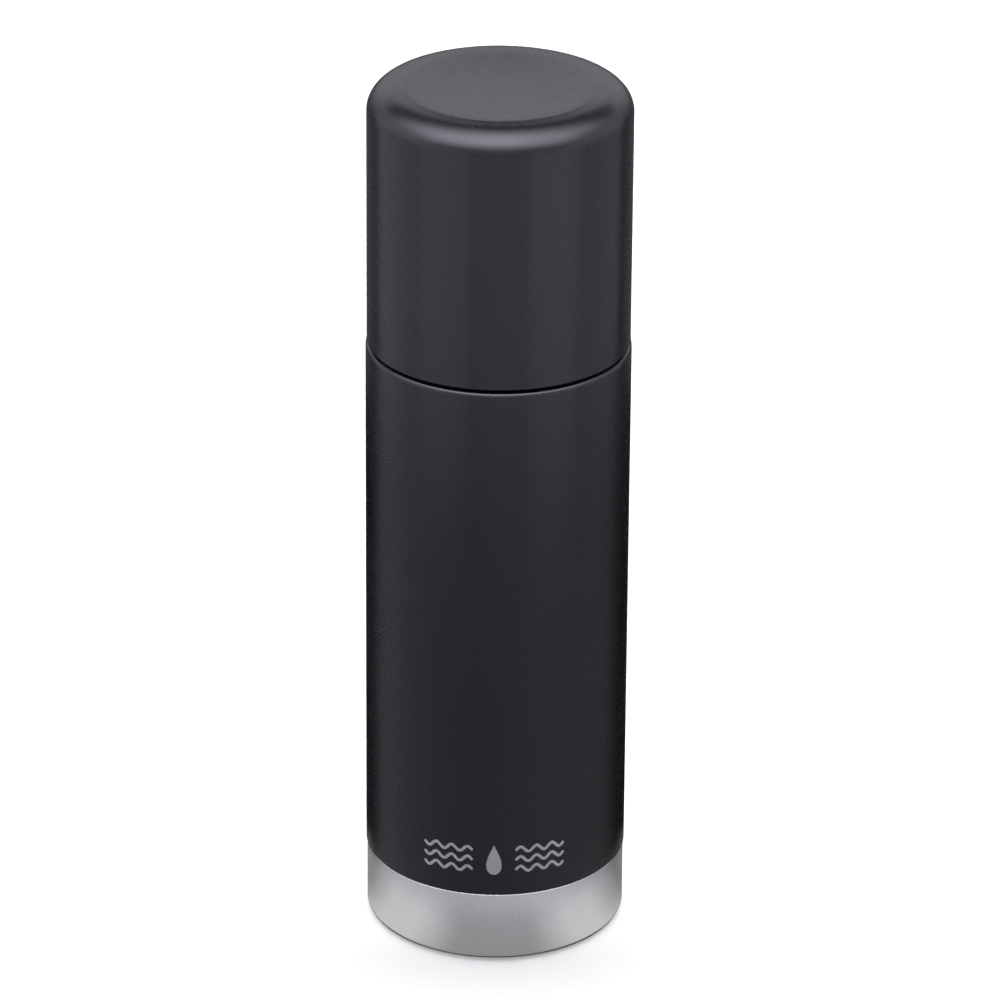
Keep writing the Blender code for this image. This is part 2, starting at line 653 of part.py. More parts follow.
def make_cup(materials, parts, tools):
    """Drinking cup: coated shell, steel liner, threaded collar and the ring it stands on."""
    bore = CUP_RADIUS - CUP_WALL
    outside = cup_top(0.0, 4) + [
        (CUP_RADIUS, CUP_EDGE_Z + 0.3 * MM),
        (CUP_RADIUS - 0.3 * MM, CUP_EDGE_Z),
    ]
    inside = [(bore, CUP_EDGE_Z)] + list(reversed(cup_top(CUP_WALL, 3)))
    turned("cup_shell", outside + inside, materials["powder_coat"], parts, on_axis=True)

    wall = CUP_WALL
    corner = 5.0 * MM
    edge_low = CUP_EDGE_Z + 0.1 * MM
    edge_r = bore - TOUCH
    middle_r = LINER_RADIUS - corner
    middle_z = LINER_FLOOR_Z + wall - corner
    liner = [(0.0, LINER_FLOOR_Z + wall)]
    liner += arc(middle_r, middle_z, corner, corner, 90, 0, 4)
    liner += [
        (LINER_RADIUS, CUP_EDGE_Z + 3.2 * MM),
        (edge_r, CUP_EDGE_Z + 1.4 * MM),
        (edge_r, edge_low),
        (edge_r - wall, edge_low),
        (edge_r - wall, CUP_EDGE_Z + 1.2 * MM),
        (LINER_RADIUS - wall, CUP_EDGE_Z + 2.9 * MM),
    ]
    liner += arc(middle_r, middle_z, corner - wall, corner - wall, 0, 90, 4)
    liner.append((0.0, LINER_FLOOR_Z))
    turned("cup_liner", liner, materials["inner_steel"], parts, on_axis=True)

    collar_outer = LINER_RADIUS - wall - TOUCH
    collar_low = CUP_EDGE_Z + 0.3 * MM
    collar = [
        (COLLAR_ROOT + 0.8 * MM, COLLAR_TOP_Z),
        (collar_outer - 0.5 * MM, COLLAR_TOP_Z),
        (collar_outer, COLLAR_TOP_Z - 0.5 * MM),
        (collar_outer, collar_low + 0.5 * MM),
        (collar_outer - 0.5 * MM, collar_low),
        (COLLAR_ROOT + 0.4 * MM, collar_low),
        (COLLAR_ROOT, collar_low + 0.4 * MM),
        (COLLAR_ROOT, COLLAR_TOP_Z - 0.8 * MM),
    ]
    obj = turned("cup_collar", collar, materials["black_plastic"], parts)
    add_thread(
        obj,
        COLLAR_ROOT,
        False,
        CUP_RIDGE_Z - 0.5 * CUP_LEAD / STARTS,
        CUP_RIDGE_TURNS,
        CUP_LEAD,
        0.0,
        tools,
    )

    ring = [
        (34.2 * MM, LEDGE_Z + 2.0 * TOUCH),
        (34.2 * MM, LEDGE_Z + TOUCH),
        (30.4 * MM, LEDGE_Z + TOUCH),
        (30.4 * MM, LEDGE_Z + 2.0 * TOUCH + 0.3 * MM),
        (33.6 * MM, LEDGE_Z + 2.0 * TOUCH + 0.3 * MM),
    ]
    turned("cup_seal", ring, materials["dark_silicone"], parts)


def main():
    clear_scene()
    parts = new_collection("insulated_flask")
    tools = new_collection("tools")
    materials = make_materials()
    make_outer_shell(materials, parts, tools)
    make_base(materials, parts)
    make_getter(materials, parts)
    make_inner_vessel(materials, parts, tools)
    make_foil(materials, parts)
    make_stopper(materials, parts, tools)
    make_valve(materials, parts)
    make_cup(materials, parts, tools)


main()
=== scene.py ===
import math

import bmesh
import bpy
from mathutils import Matrix, Vector, noise


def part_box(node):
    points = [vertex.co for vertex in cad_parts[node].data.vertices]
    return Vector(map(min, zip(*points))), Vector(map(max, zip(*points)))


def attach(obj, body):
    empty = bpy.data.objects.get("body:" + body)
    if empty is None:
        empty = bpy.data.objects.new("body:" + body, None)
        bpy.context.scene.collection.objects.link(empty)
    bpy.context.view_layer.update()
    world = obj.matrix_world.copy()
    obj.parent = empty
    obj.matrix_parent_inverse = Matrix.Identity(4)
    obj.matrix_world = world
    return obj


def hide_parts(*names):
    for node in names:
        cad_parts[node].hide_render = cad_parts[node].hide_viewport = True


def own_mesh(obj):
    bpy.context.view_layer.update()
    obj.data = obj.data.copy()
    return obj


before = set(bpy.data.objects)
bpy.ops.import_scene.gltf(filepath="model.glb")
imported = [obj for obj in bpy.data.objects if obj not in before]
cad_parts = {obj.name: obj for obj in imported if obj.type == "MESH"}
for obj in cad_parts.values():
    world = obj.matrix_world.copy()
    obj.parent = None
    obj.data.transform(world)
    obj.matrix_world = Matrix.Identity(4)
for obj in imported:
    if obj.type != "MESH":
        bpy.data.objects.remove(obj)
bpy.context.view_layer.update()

MM = 0.001
SEGMENTS = 256             # facets round a large turned piece
SMALL_SEGMENTS = 128       # facets round a small one
FILLET_STEPS = 6
HOLD = 0.12 * MM           # support ring beside each rounded corner
SHARP_DEG = 38.0


# --- sizes read from the frame ------------------------------------------------
def top(node):
    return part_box(node)[1].z


def bottom(node):
    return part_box(node)[0].z


def radius(node):
    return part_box(node)[1].x


def extent(node):
    return bottom(node), top(node), radius(node)


BODY_R = radius("outer_shell")
COAT_EDGE = bottom("outer_shell")
CUP_R = radius("cup_shell")
CUP_EDGE = bottom("cup_shell")
CUP_TOP = top("cup_shell")
LIP_TOP = top("inner_vessel")
VESSEL_R = radius("inner_vessel")
SEAL_LOW = bottom("cup_seal")
TOUCH = 0.3 * MM
LEDGE = SEAL_LOW - TOUCH
STEEL_WALL = 0.45 * MM
NECK_R = 28.0 * MM
NECK_BORE = 22.5 * MM
NECK_WALL = 0.55 * MM
BASE_R = radius("base_cup")
SPIGOT_TOP = top("base_cup")
FOOT_OUTER = 33.2 * MM
FOOT_INNER = 31.2 * MM
RECESS = 2.4 * MM
RIDGE_HEIGHT = 1.1 * MM
RIDGE_ROOT_HALF = 1.15 * MM
RIDGE_CREST_HALF = 0.5 * MM
THREAD_STEP = 0.22 * MM    # distance between the rows of points that form a thread
STARTS = 2
CUP_LEAD = 12.0 * MM
CUP_RIDGE_TURNS = 0.8
CUP_RIDGE_Z = 176.2 * MM
STOPPER_LEAD = 10.0 * MM
STOPPER_RIDGE_TURNS = 0.75
STOPPER_RIDGE_Z = 178.0 * MM
SEAT_R = 20.3 * MM         # bead that the stopper's gasket sits on
SEAT_TOP = 172.6 * MM
VESSEL_FLOOR = 9.2 * MM
PLUG_R = 20.9 * MM
PLUG_BORE = 18.4 * MM
NOSE_R = 19.5 * MM
NOSE_BORE = 13.0 * MM
NOSE_Z = bottom("stopper_body")
SHOULDER_Z = SEAT_TOP + 2.7 * MM
DECK_Z = 195.2 * MM
DECK_TOP = DECK_Z + 1.6 * MM
DECK_R = 23.2 * MM
CAP_R = radius("stopper_cap")
CAP_TOP = top("stopper_cap")
CAP_FLUTES = 10
FLUTE_DEPTH = 0.7 * MM
BUTTON_TOP = top("push_button")
BUTTON_R = 10.5 * MM
STEM_R = 2.5 * MM


# --- outline helpers ----------------------------------------------------------
def arc(centre_r, centre_z, radius_r, radius_z, start_deg, end_deg, steps):
    points = []
    for i in range(steps + 1):
        angle = math.radians(start_deg + (end_deg - start_deg) * i / steps)
        points.append((centre_r + radius_r * math.cos(angle), centre_z + radius_z * math.sin(angle)))
    return points


def hermite(start, start_slope, end, end_slope, steps):
    width = end[0] - start[0]
    points = []
    for i in range(steps + 1):
        t = i / steps
        z = (
            (2 * t**3 - 3 * t**2 + 1) * start[1]
            + (t**3 - 2 * t**2 + t) * width * start_slope
            + (3 * t**2 - 2 * t**3) * end[1]
            + (t**3 - t**2) * width * end_slope
        )
        points.append((start[0] + width * t, z))
    return points


def rounded(corners, closed=True):
    """An outline with each corner (radius, height, fillet) rounded, and a support point beside it."""
    points = []
    count = len(corners)
    for i, (r, z, fillet) in enumerate(corners):
        here = Vector((r, z))
        ends = not closed and i in (0, count - 1)
        if fillet <= 0.0 or ends:
            points.append((r, z))
            continue
        before = Vector(corners[i - 1][:2]) - here
        after = Vector(corners[(i + 1) % count][:2]) - here
        if before.length < 1e-9 or after.length < 1e-9:
            points.append((r, z))
            continue
        half = before.angle(after) / 2.0
        reach = fillet / math.tan(half)
        reach = min(reach, 0.48 * before.length, 0.48 * after.length)
        size = reach * math.tan(half)
        centre = here + (before.normalized() + after.normalized()).normalized() * (size / math.sin(half))
        first = here + before.normalized() * reach
        last = here + after.normalized() * reach
        if before.length > 3.0 * reach + HOLD:
            hold = first + before.normalized() * min(HOLD, 0.5 * reach + 0.02 * MM)
            points.append(tuple(hold))
        start = math.atan2(first.y - centre.y, first.x - centre.x)
        end = math.atan2(last.y - centre.y, last.x - centre.x)
        sweep = (end - start + math.pi) % math.tau - math.pi
        for k in range(FILLET_STEPS + 1):
            angle = start + sweep * k / FILLET_STEPS
            points.append((centre.x + size * math.cos(angle), centre.y + size * math.sin(angle)))
        if after.length > 3.0 * reach + HOLD:
            hold = last + after.normalized() * min(HOLD, 0.5 * reach + 0.02 * MM)
            points.append(tuple(hold))
    return points


def refined(points, low, high, step, radius_near):
    """The outline with extra points along the wall at radius_near between two heights."""
    result = []
    for (r0, z0), (r1, z1) in zip(points, points[1:] + points[:1]):
        result.append((r0, z0))
        on_wall = abs(r0 - radius_near) < 1e-6 and abs(r1 - radius_near) < 1e-6
        if on_wall and abs(z1 - z0) > step:
            pieces = max(1, int(abs(z1 - z0) / step))
            for k in range(1, pieces):
                z = z0 + (z1 - z0) * k / pieces
                if low <= z <= high:
                    result.append((r0, z))
    return result


# --- mesh helpers -------------------------------------------------------------
def to_mesh(bm, name):
    mesh = bpy.data.meshes.new(name)
    bm.to_mesh(mesh)
    bm.free()
    return mesh


def shade(mesh):
    mesh.shade_smooth()
    mesh.set_sharp_from_angle(angle=math.radians(SHARP_DEG))


def placed(name, data):
    obj = bpy.data.objects.new(name, data)
    bpy.context.scene.collection.objects.link(obj)
    return obj


def lathe(node, outline, body, slot, closed=True, segments=SEGMENTS, shift_x=0.0):
    """Turn an outline about the Z axis. A closed outline makes a ring, an open one meets the axis."""
    bm = bmesh.new()
    rings = []
    for r, z in outline:
        if r < 1e-7:
            vertex = bm.verts.new((0.0, 0.0, z))
            rings.append([vertex] * segments)
            continue
        ring = []
        for i in range(segments):
            angle = math.tau * i / segments
            ring.append(bm.verts.new((r * math.cos(angle), r * math.sin(angle), z)))
        rings.append(ring)
    pairs = list(zip(rings, rings[1:]))
    if closed:
        pairs.append((rings[-1], rings[0]))
    for upper, lower in pairs:
        for i in range(segments):
            k = (i + 1) % segments
            corners = []
            for vertex in (upper[i], lower[i], lower[k], upper[k]):
                if vertex not in corners:
                    corners.append(vertex)
            if len(corners) > 2:
                bm.faces.new(corners)
    bmesh.ops.recalc_face_normals(bm, faces=bm.faces)
    name = f"{node}_fine"
    mesh = to_mesh(bm, name)
    if shift_x:
        mesh.transform(Matrix.Translation((shift_x, 0.0, 0.0)))
    shade(mesh)
    return piece(name, mesh, body, node, slot)


def turned(node, body, slot, corners, **how):
    """A lathed piece from the corners of its outline, which is open if it starts on the axis."""
    closed = corners[0][0] > 0.0
    return lathe(node, rounded(corners, closed), body, slot, closed, **how)


def piece(name, mesh, body, node, look):
    """A visual piece that rides a body, has one of the looks and takes the place of a node."""
    obj = placed(name, mesh)
    mesh.materials.append(LOOKS[look])
    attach(obj, body)
    if node:
        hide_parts(node)
    return obj


def push_out(vertex, distance):
    """Move a point away from the Z axis."""
    r = math.hypot(vertex.co.x, vertex.co.y)
    vertex.co.x *= (r + distance) / r
    vertex.co.y *= (r + distance) / r


def press_thread(obj, wall_radius, outward, low_z, turns, lead):
    """Press the helical ridges of a thread into the wall at one radius."""
    side = 1.0 if outward else -1.0
    fade = 0.12
    for vertex in obj.data.vertices:
        r = math.hypot(vertex.co.x, vertex.co.y)
        if abs(r - wall_radius) > 1e-6:
            continue
        angle = math.atan2(vertex.co.y, vertex.co.x)
        lift = 0.0
        for start in range(STARTS):
            travelled = (angle - start * math.tau / STARTS) % math.tau
            part = travelled / (turns * math.tau)
            if part > 1.0:
                continue
            middle = low_z + RIDGE_ROOT_HALF + part * turns * lead
            away = abs(vertex.co.z - middle)
            flank = (RIDGE_ROOT_HALF - away) / (RIDGE_ROOT_HALF - RIDGE_CREST_HALF)
            flank = min(1.0, max(0.0, flank))
            swell = min(1.0, part / fade, (1.0 - part) / fade)
            height = flank * flank * (3.0 - 2.0 * flank) * swell
            lift = max(lift, RIDGE_HEIGHT * height)
        push_out(vertex, side * lift)
    obj.data.update()


def rounded_box(low, high, along, fillet):
    """A box whose four edges along one axis are rounded, as a bmesh."""
    bm = bmesh.new()
    bmesh.ops.create_cube(bm, size=1.0)
    for vertex in bm.verts:
        for axis in range(3):
            vertex.co[axis] = low[axis] + (vertex.co[axis] + 0.5) * (high[axis] - low[axis])
    edges = []
    for edge in bm.edges:
        run = edge.verts[1].co - edge.verts[0].co
        if abs(run[along]) > 0.9 * run.length:
            edges.append(edge)
    bmesh.ops.bevel(bm, geom=edges, offset=fillet, segments=5, affect="EDGES", profile=0.5)
    return bm


def cone(low_r, high_r, depth, middle):
    """A cone or cylinder on the Z axis, from its two radii, length and middle height, as a bmesh."""
    bm = bmesh.new()
    bmesh.ops.create_cone(
        bm, cap_ends=True, segments=SMALL_SEGMENTS, radius1=low_r, radius2=high_r, depth=depth
    )
    bmesh.ops.translate(bm, verts=bm.verts, vec=(0.0, 0.0, middle))
    return bm


def combine(obj, operation, tools):
    """Cut or join the meshes in tools to obj for good, and shade it again."""
    helpers = []
    for index, bm in enumerate(tools):
        mesh = to_mesh(bm, f"{obj.name}_tool_{index + 1}")
        helper = bpy.data.objects.new(mesh.name, mesh)
        bpy.context.scene.collection.objects.link(helper)
        modifier = obj.modifiers.new("combine", "BOOLEAN")
        modifier.operation = operation
        modifier.solver = "EXACT"
        modifier.object = helper
        helpers.append(helper)
    depsgraph = bpy.context.evaluated_depsgraph_get()
    mesh = bpy.data.meshes.new_from_object(obj.evaluated_get(depsgraph))
    obj.modifiers.clear()
    obj.data = mesh
    for helper in helpers:
        bpy.data.objects.remove(helper, do_unlink=True)
    shade(mesh)


def crumple(obj, scale, depth):
    """Move each point along its normal by a smooth noise."""
    normals = [vertex.normal.copy() for vertex in obj.data.vertices]
    for vertex, normal in zip(obj.data.vertices, normals):
        vertex.co += normal * depth * noise.noise(vertex.co * scale)
    obj.data.update()


# --- materials ----------------------------------------------------------------
class Tree:
    """A small helper that adds and links the nodes of one tree."""

    def __init__(self, tree):
        self.tree = tree

    def add(self, kind, inputs=None, **settings):
        """A node with some settings and with plain values in some of its inputs."""
        node = self.tree.nodes.new(kind)
        for key, value in settings.items():
            setattr(node, key, value)
        for key, value in (inputs or {}).items():
            node.inputs[key].default_value = value
        return node

    def link(self, source, target):
        self.tree.links.new(source, target)

    def range(self, value, low, high, from_low=0.3, from_high=0.7):
        limits = {"From Min": from_low, "From Max": from_high, "To Min": low, "To Max": high}
        node = self.add("ShaderNodeMapRange", limits)
        self.link(value, node.inputs["Value"])
        return node.outputs["Result"]

    def math(self, operation, first, second=None):
        node = self.add("ShaderNodeMath", operation=operation)
        for socket, value in zip(node.inputs, (first, second)):
            if value is None:
                continue
            if isinstance(value, (int, float)):
                socket.default_value = value
            else:
                self.link(value, socket)
        return node.outputs["Value"]

    def ramp(self, value, stops):
        """Turn an angle into a brightness; the stops are (degrees, brightness)."""
        low = stops[0][0]
        high = stops[-1][0]
        node = self.add("ShaderNodeValToRGB")
        self.link(self.range(value, 0.0, 1.0, math.radians(low), math.radians(high)), node.inputs["Fac"])
        while len(node.color_ramp.elements) < len(stops):
            node.color_ramp.elements.new(0.5)
        for element, (angle, level) in zip(node.color_ramp.elements, stops):
            element.position = (angle - low) / (high - low)
        for element, (angle, level) in zip(node.color_ramp.elements, stops):
            element.color = (level, level, level, 1.0)
        return node.outputs["Color"]

    def azimuth(self, split):
        """Angle about the Z axis, 0 towards -Y and 90 degrees towards +X."""
        return self.math("ARCTAN2", split.outputs["X"], self.math("MULTIPLY", split.outputs["Y"], -1.0))


class Nodes(Tree):
    """The same for the shader nodes of one material."""

    def __init__(self, name):
        self.material = bpy.data.materials.new(name)
        self.material.use_nodes = True
        super().__init__(self.material.node_tree)
        self.shader = self.tree.nodes["Principled BSDF"]
        self.place = self.add("ShaderNodeTexCoord").outputs["Object"]

    def set(self, **values):
        for key, value in values.items():
            self.shader.inputs[key.replace("_", " ")].default_value = value

    def noise(self, scale, detail=3.0, vector=None, roughness=0.5):
        node = self.add("ShaderNodeTexNoise", {"Scale": scale, "Detail": detail, "Roughness": roughness})
        self.link(vector or self.place, node.inputs["Vector"])
        return node.outputs["Fac"]

    def stretched(self, x, y, z):
        node = self.add("ShaderNodeMapping", {"Scale": (x, y, z)})
        self.link(self.place, node.inputs["Vector"])
        return node.outputs["Vector"]

    def mix(self, factor, first, second):
        node = self.add("ShaderNodeMix", data_type="RGBA")
        if isinstance(factor, (int, float)):
            node.inputs["Factor"].default_value = factor
        else:
            self.link(factor, node.inputs["Factor"])
        for key, colour in (("A", first), ("B", second)):
            socket = [s for s in node.inputs if s.name == key and s.type == "RGBA"][0]
            if isinstance(colour, tuple):
                socket.default_value = (*colour, 1.0)
            else:
                self.link(colour, socket)
        return [s for s in node.outputs if s.type == "RGBA"][0]

    def colour(self, value, low, high):
        """Base colour between two colours, led by a noise."""
        self.link(self.mix(self.range(value, 0.0, 1.0), low, high), self.shader.inputs["Base Color"])

    def roughness(self, value, low, high):
        self.link(self.range(value, low, high), self.shader.inputs["Roughness"])

    def bump(self, height, strength, distance):
        node = self.add("ShaderNodeBump", {"Strength": strength, "Distance": distance})
        self.link(height, node.inputs["Height"])
        self.link(node.outputs["Normal"], self.shader.inputs["Normal"])
        return node

    def turning_coordinates(self, around, along):
        """Coordinates (angle * around, z * along, radius * along) about the Z axis."""
        split = self.add("ShaderNodeSeparateXYZ")
        self.link(self.place, split.inputs["Vector"])
        angle = self.math("ARCTAN2", split.outputs["Y"], split.outputs["X"])
        squares = self.math(
            "ADD",
            self.math("POWER", split.outputs["X"], 2.0),
            self.math("POWER", split.outputs["Y"], 2.0),
        )
        reach = self.math("SQRT", squares)
        join = self.add("ShaderNodeCombineXYZ")
        self.link(self.math("MULTIPLY", angle, around), join.inputs["X"])
        self.link(self.math("MULTIPLY", split.outputs["Z"], along), join.inputs["Y"])
        self.link(self.math("MULTIPLY", reach, along), join.inputs["Z"])
        return join.outputs["Vector"]


COAT_COLOUR = (0.0058, 0.0060, 0.0072)
COAT_ROUGHNESS = 0.26


def powder_coat():
    """Satin black powder coat: fine grain over a soft orange peel."""
    n = Nodes("powder_coat")
    n.set(Metallic=0.0, IOR=1.46, Specular_Tint=(0.93, 0.91, 1.0, 1.0))
    grain = n.noise(2600.0, 2.0)
    peel = n.noise(900.0, 2.0)
    cloud = n.noise(38.0, 3.0)
    lighter = tuple(c * 1.25 for c in COAT_COLOUR)
    darker = tuple(c * 0.85 for c in COAT_COLOUR)
    n.colour(grain, darker, lighter)
    rough = n.math(
        "ADD",
        n.range(cloud, COAT_ROUGHNESS - 0.02, COAT_ROUGHNESS + 0.02),
        n.range(grain, -0.03, 0.03),
    )
    n.link(rough, n.shader.inputs["Roughness"])
    height = n.math("ADD", n.math("MULTIPLY", grain, 0.6), peel)
    n.bump(height, 0.10, 0.006 * MM)
    return n.material


def brushed_steel(name="bare_steel", colour=(0.67, 0.68, 0.69), rough=0.24):
    """Stainless steel with fine brush lines that run round the axis."""
    n = Nodes(name)
    n.set(Metallic=1.0, Anisotropic=0.5, Anisotropic_Rotation=0.25)
    tangent = n.add("ShaderNodeTangent", direction_type="RADIAL", axis="Z")
    n.link(tangent.outputs["Tangent"], n.shader.inputs["Tangent"])
    lines = n.noise(1.0, 3.0, n.turning_coordinates(14.0, 16000.0), 0.6)
    broad = n.noise(1.0, 2.0, n.turning_coordinates(2.0, 4000.0))
    low = tuple(c * 0.97 for c in colour)
    high = tuple(min(1.0, c * 1.03) for c in colour)
    n.colour(lines, low, high)
    n.roughness(broad, rough - 0.02, rough + 0.02)
    n.bump(lines, 0.07, 0.003 * MM)
    return n.material


def polished_steel():
    """Electropolished inner steel: nearly smooth, with faint drawing lines and clouding."""
    n = Nodes("inner_steel")
    n.set(Metallic=1.0)
    cloud = n.noise(90.0, 4.0)
    lines = n.noise(1.0, 3.0, n.turning_coordinates(6.0, 2500.0))
    n.colour(cloud, (0.54, 0.54, 0.54), (0.66, 0.66, 0.65))
    n.roughness(cloud, 0.20, 0.30)
    n.bump(lines, 0.2, 0.01 * MM)
    return n.material


def plastic(name, colour, rough):
    """Moulded plastic with a fine spark-eroded grain."""
    n = Nodes(name)
    n.set(Metallic=0.0, IOR=1.49)
    grain = n.noise(1900.0, 3.0)
    flow = n.noise(120.0, 2.0, n.stretched(1.0, 1.0, 0.4))
    n.colour(flow, tuple(c * 0.9 for c in colour), tuple(c * 1.1 for c in colour))
    n.roughness(grain, rough - 0.06, rough + 0.06)
    n.bump(grain, 0.25, 0.02 * MM)
    return n.material


def silicone(name, colour):
    """Silicone: soft surface with a dusty, slightly translucent look."""
    n = Nodes(name)
    n.set(Metallic=0.0, IOR=1.41, Subsurface_Weight=0.12, Subsurface_Scale=0.002)
    n.set(Subsurface_Radius=(1.0, 1.0, 1.0))
    dust = n.noise(800.0, 4.0)
    n.colour(dust, tuple(c * 0.9 for c in colour), tuple(c * 1.12 for c in colour))
    n.roughness(dust, 0.52, 0.66)
    n.bump(dust, 0.15, 0.02 * MM)
    return n.material


def crinkled_foil():
    n = Nodes("foil")
    n.set(Metallic=1.0)
    creases = n.noise(160.0, 6.0, n.stretched(1.0, 1.0, 0.5), 0.7)
    n.colour(creases, (0.72, 0.72, 0.73), (0.86, 0.86, 0.87))
    n.roughness(creases, 0.12, 0.28)
    n.bump(creases, 0.8, 0.15 * MM)
    return n.material


def pressed_powder():
    n = Nodes("getter")
    n.set(Metallic=0.7)
    grains = n.noise(3500.0, 5.0, None, 0.7)
    n.colour(grains, (0.22, 0.22, 0.23), (0.42, 0.42, 0.43))
    n.roughness(grains, 0.5, 0.8)
    n.bump(grains, 0.5, 0.05 * MM)
    return n.material


def brazing():
    n = Nodes("solder")
    n.set(Metallic=0.8)
    ripple = n.noise(900.0, 3.0)
    n.colour(ripple, (0.38, 0.34, 0.26), (0.58, 0.53, 0.42))
    n.roughness(ripple, 0.30, 0.50)
    n.bump(ripple, 0.5, 0.05 * MM)
    return n.material


def etched_steel():
    """Laser-etched mark: the coat is burnt away to a dull grey steel."""
    n = Nodes("etched_mark")
    n.set(Metallic=0.6)
    hatch = n.noise(5200.0, 2.0)
    n.colour(hatch, (0.36, 0.36, 0.37), (0.50, 0.50, 0.51))
    n.roughness(hatch, 0.45, 0.6)
    n.bump(hatch, 0.3, 0.01 * MM)
    return n.material


LOOKS = {
    "powder_coat": powder_coat(),
    "bare_steel": brushed_steel(),
    "inner_steel": polished_steel(),
    "black_plastic": plastic("black_plastic", (0.022, 0.022, 0.024), 0.46),
    "grey_plastic": plastic("grey_plastic", (0.14, 0.145, 0.15), 0.42),
    "silicone": silicone("silicone", (0.50, 0.51, 0.52)),
    "dark_silicone": silicone("dark_silicone", (0.012, 0.012, 0.012)),
    "foil": crinkled_foil(),
    "getter": pressed_powder(),
    "solder": brazing(),
    "etched_mark": etched_steel(),
}


# --- flask body ---------------------------------------------------------------
def make_outer_shell():
    """Coated side wall and shoulder; the neck and the ledge just round it stay bare."""
    edge = 1.1 * MM
    bare_reach = 2.2 * MM
    bore = BODY_R - STEEL_WALL
    neck_top = top("outer_shell")
    corners = [
        (NECK_R, neck_top, 0.12 * MM),
        (NECK_R, LEDGE, 1.6 * MM),
        (BODY_R, LEDGE, edge),
        (BODY_R, COAT_EDGE, 0.10 * MM),
        (bore, COAT_EDGE, 0.10 * MM),
        (bore, LEDGE - STEEL_WALL, 0.9 * MM),
        (NECK_R + 1.0 * MM, LEDGE - STEEL_WALL, 0.0),
        (NECK_R - NECK_WALL, LEDGE + 1.2 * MM, 0.0),
        (NECK_R - NECK_WALL, neck_top, 0.12 * MM),
    ]
    outline = refined(rounded(corners), LEDGE, neck_top, THREAD_STEP, NECK_R)
    obj = lathe("outer_shell", outline, "flask", "powder_coat")
    press_thread(obj, NECK_R, True, CUP_RIDGE_Z, CUP_RIDGE_TURNS, CUP_LEAD)
    obj.data.materials.append(LOOKS["bare_steel"])
    for face in obj.data.polygons:
        x, y, z = face.center
        if math.hypot(x, y) < NECK_R + bare_reach:
            face.material_index = 1


def make_base():
    wall = STEEL_WALL
    spigot = BODY_R - wall - TOUCH
    corner = BASE_R - FOOT_OUTER
    band_top = COAT_EDGE - TOUCH
    dimple = 3.6 * MM
    dimple_r = 6.0 * MM
    port = 1.0 * MM
    turned("base_cup", "flask", "bare_steel", [
        (spigot, SPIGOT_TOP, 0.1 * MM),
        (spigot, band_top, 0.0),
        (BASE_R, band_top, 0.16 * MM),
        (BASE_R, 0.0, corner),
        (FOOT_INNER, 0.0, 0.4 * MM),
        (FOOT_INNER - 1.8 * MM, RECESS, 0.6 * MM),
        (dimple_r + 1.0 * MM, RECESS, 0.4 * MM),
        (dimple_r, dimple, 0.3 * MM),
        (port, dimple, 0.1 * MM),
        (port, dimple + wall, 0.1 * MM),
        (dimple_r + 0.3 * MM, dimple + wall, 0.0),
        (dimple_r + 1.3 * MM, RECESS + wall, 0.0),
        (FOOT_INNER - 1.4 * MM, RECESS + wall, 0.0),
        (FOOT_INNER + 0.3 * MM, wall, 0.0),
        (BASE_R - wall, wall, corner - wall),
        (BASE_R - wall, band_top - 1.5 * MM, 0.0),
        (spigot - wall, band_top, 0.0),
        (spigot - wall, SPIGOT_TOP, 0.1 * MM),
    ])

    low, high, disc_r = extent("base_cover")
    turned("base_cover", "flask", "bare_steel", [
        (0.0, high, 0.0),
        (disc_r, high, 0.15 * MM),
        (disc_r, low, 0.25 * MM),
        (disc_r - 1.2 * MM, low, 0.1 * MM),
        (disc_r - 1.4 * MM, low + 0.12 * MM, 0.1 * MM),
        (disc_r - 2.2 * MM, low + 0.12 * MM, 0.1 * MM),
        (disc_r - 2.4 * MM, low, 0.1 * MM),
        (0.0, low, 0.0),
    ])


def cup_top(offset, steps):
    """Outline of the cup's top from the axis to the side wall, moved inward by offset."""
    corner_width = 7.16 * MM
    corner_drop = 6.66 * MM
    corner_fall = 0.41 * MM
    join_deg = 66.5
    crown_r = 25.2 * MM
    dish_depth = 0.4 * MM
    dish_slope = 0.03
    ridge_width = 2.7 * MM
    ridge_drop = 0.035 * MM
    fall_width = 1.0 * MM
    fall_drop = 0.06 * MM
    fall_slope = -0.12
    centre_z = CUP_TOP - corner_fall - corner_drop
    centre_r = CUP_R - corner_width
    join = arc(centre_r, centre_z, corner_width - offset, corner_drop - offset, join_deg, 0, steps * 3)
    turn = math.radians(join_deg)
    slope = -corner_drop / corner_width * math.cos(turn) / math.sin(turn)
    crown_z = CUP_TOP - offset
    ridge_start = (crown_r - ridge_width, crown_z - ridge_drop)
    dish = hermite((0.0, crown_z - dish_depth), 0.0, ridge_start, dish_slope, steps * 3)
    ridge = hermite(ridge_start, dish_slope, (crown_r, crown_z), 0.0, steps)
    fall_end = (crown_r + fall_width, crown_z - fall_drop)
    fall = hermite((crown_r, crown_z), 0.0, fall_end, fall_slope, steps)
    shoulder = hermite(fall_end, fall_slope, join[0], slope, steps * 2)
    return dish + ridge[1:] + fall[1:] + shoulder[1:] + join[1:]


def make_cup():
    bore = CUP_R - STEEL_WALL
    rim = rounded([
        (CUP_R, CUP_EDGE + 6.0 * MM, 0.0),
        (CUP_R, CUP_EDGE, 0.28 * MM),
        (bore, CUP_EDGE, 0.1 * MM),
        (bore, CUP_EDGE + 6.0 * MM, 0.0),
    ], closed=False)
    outline = cup_top(0.0, 6) + rim + list(reversed(cup_top(STEEL_WALL, 4)))
    lathe("cup_shell", outline, "cup", "powder_coat", closed=False)


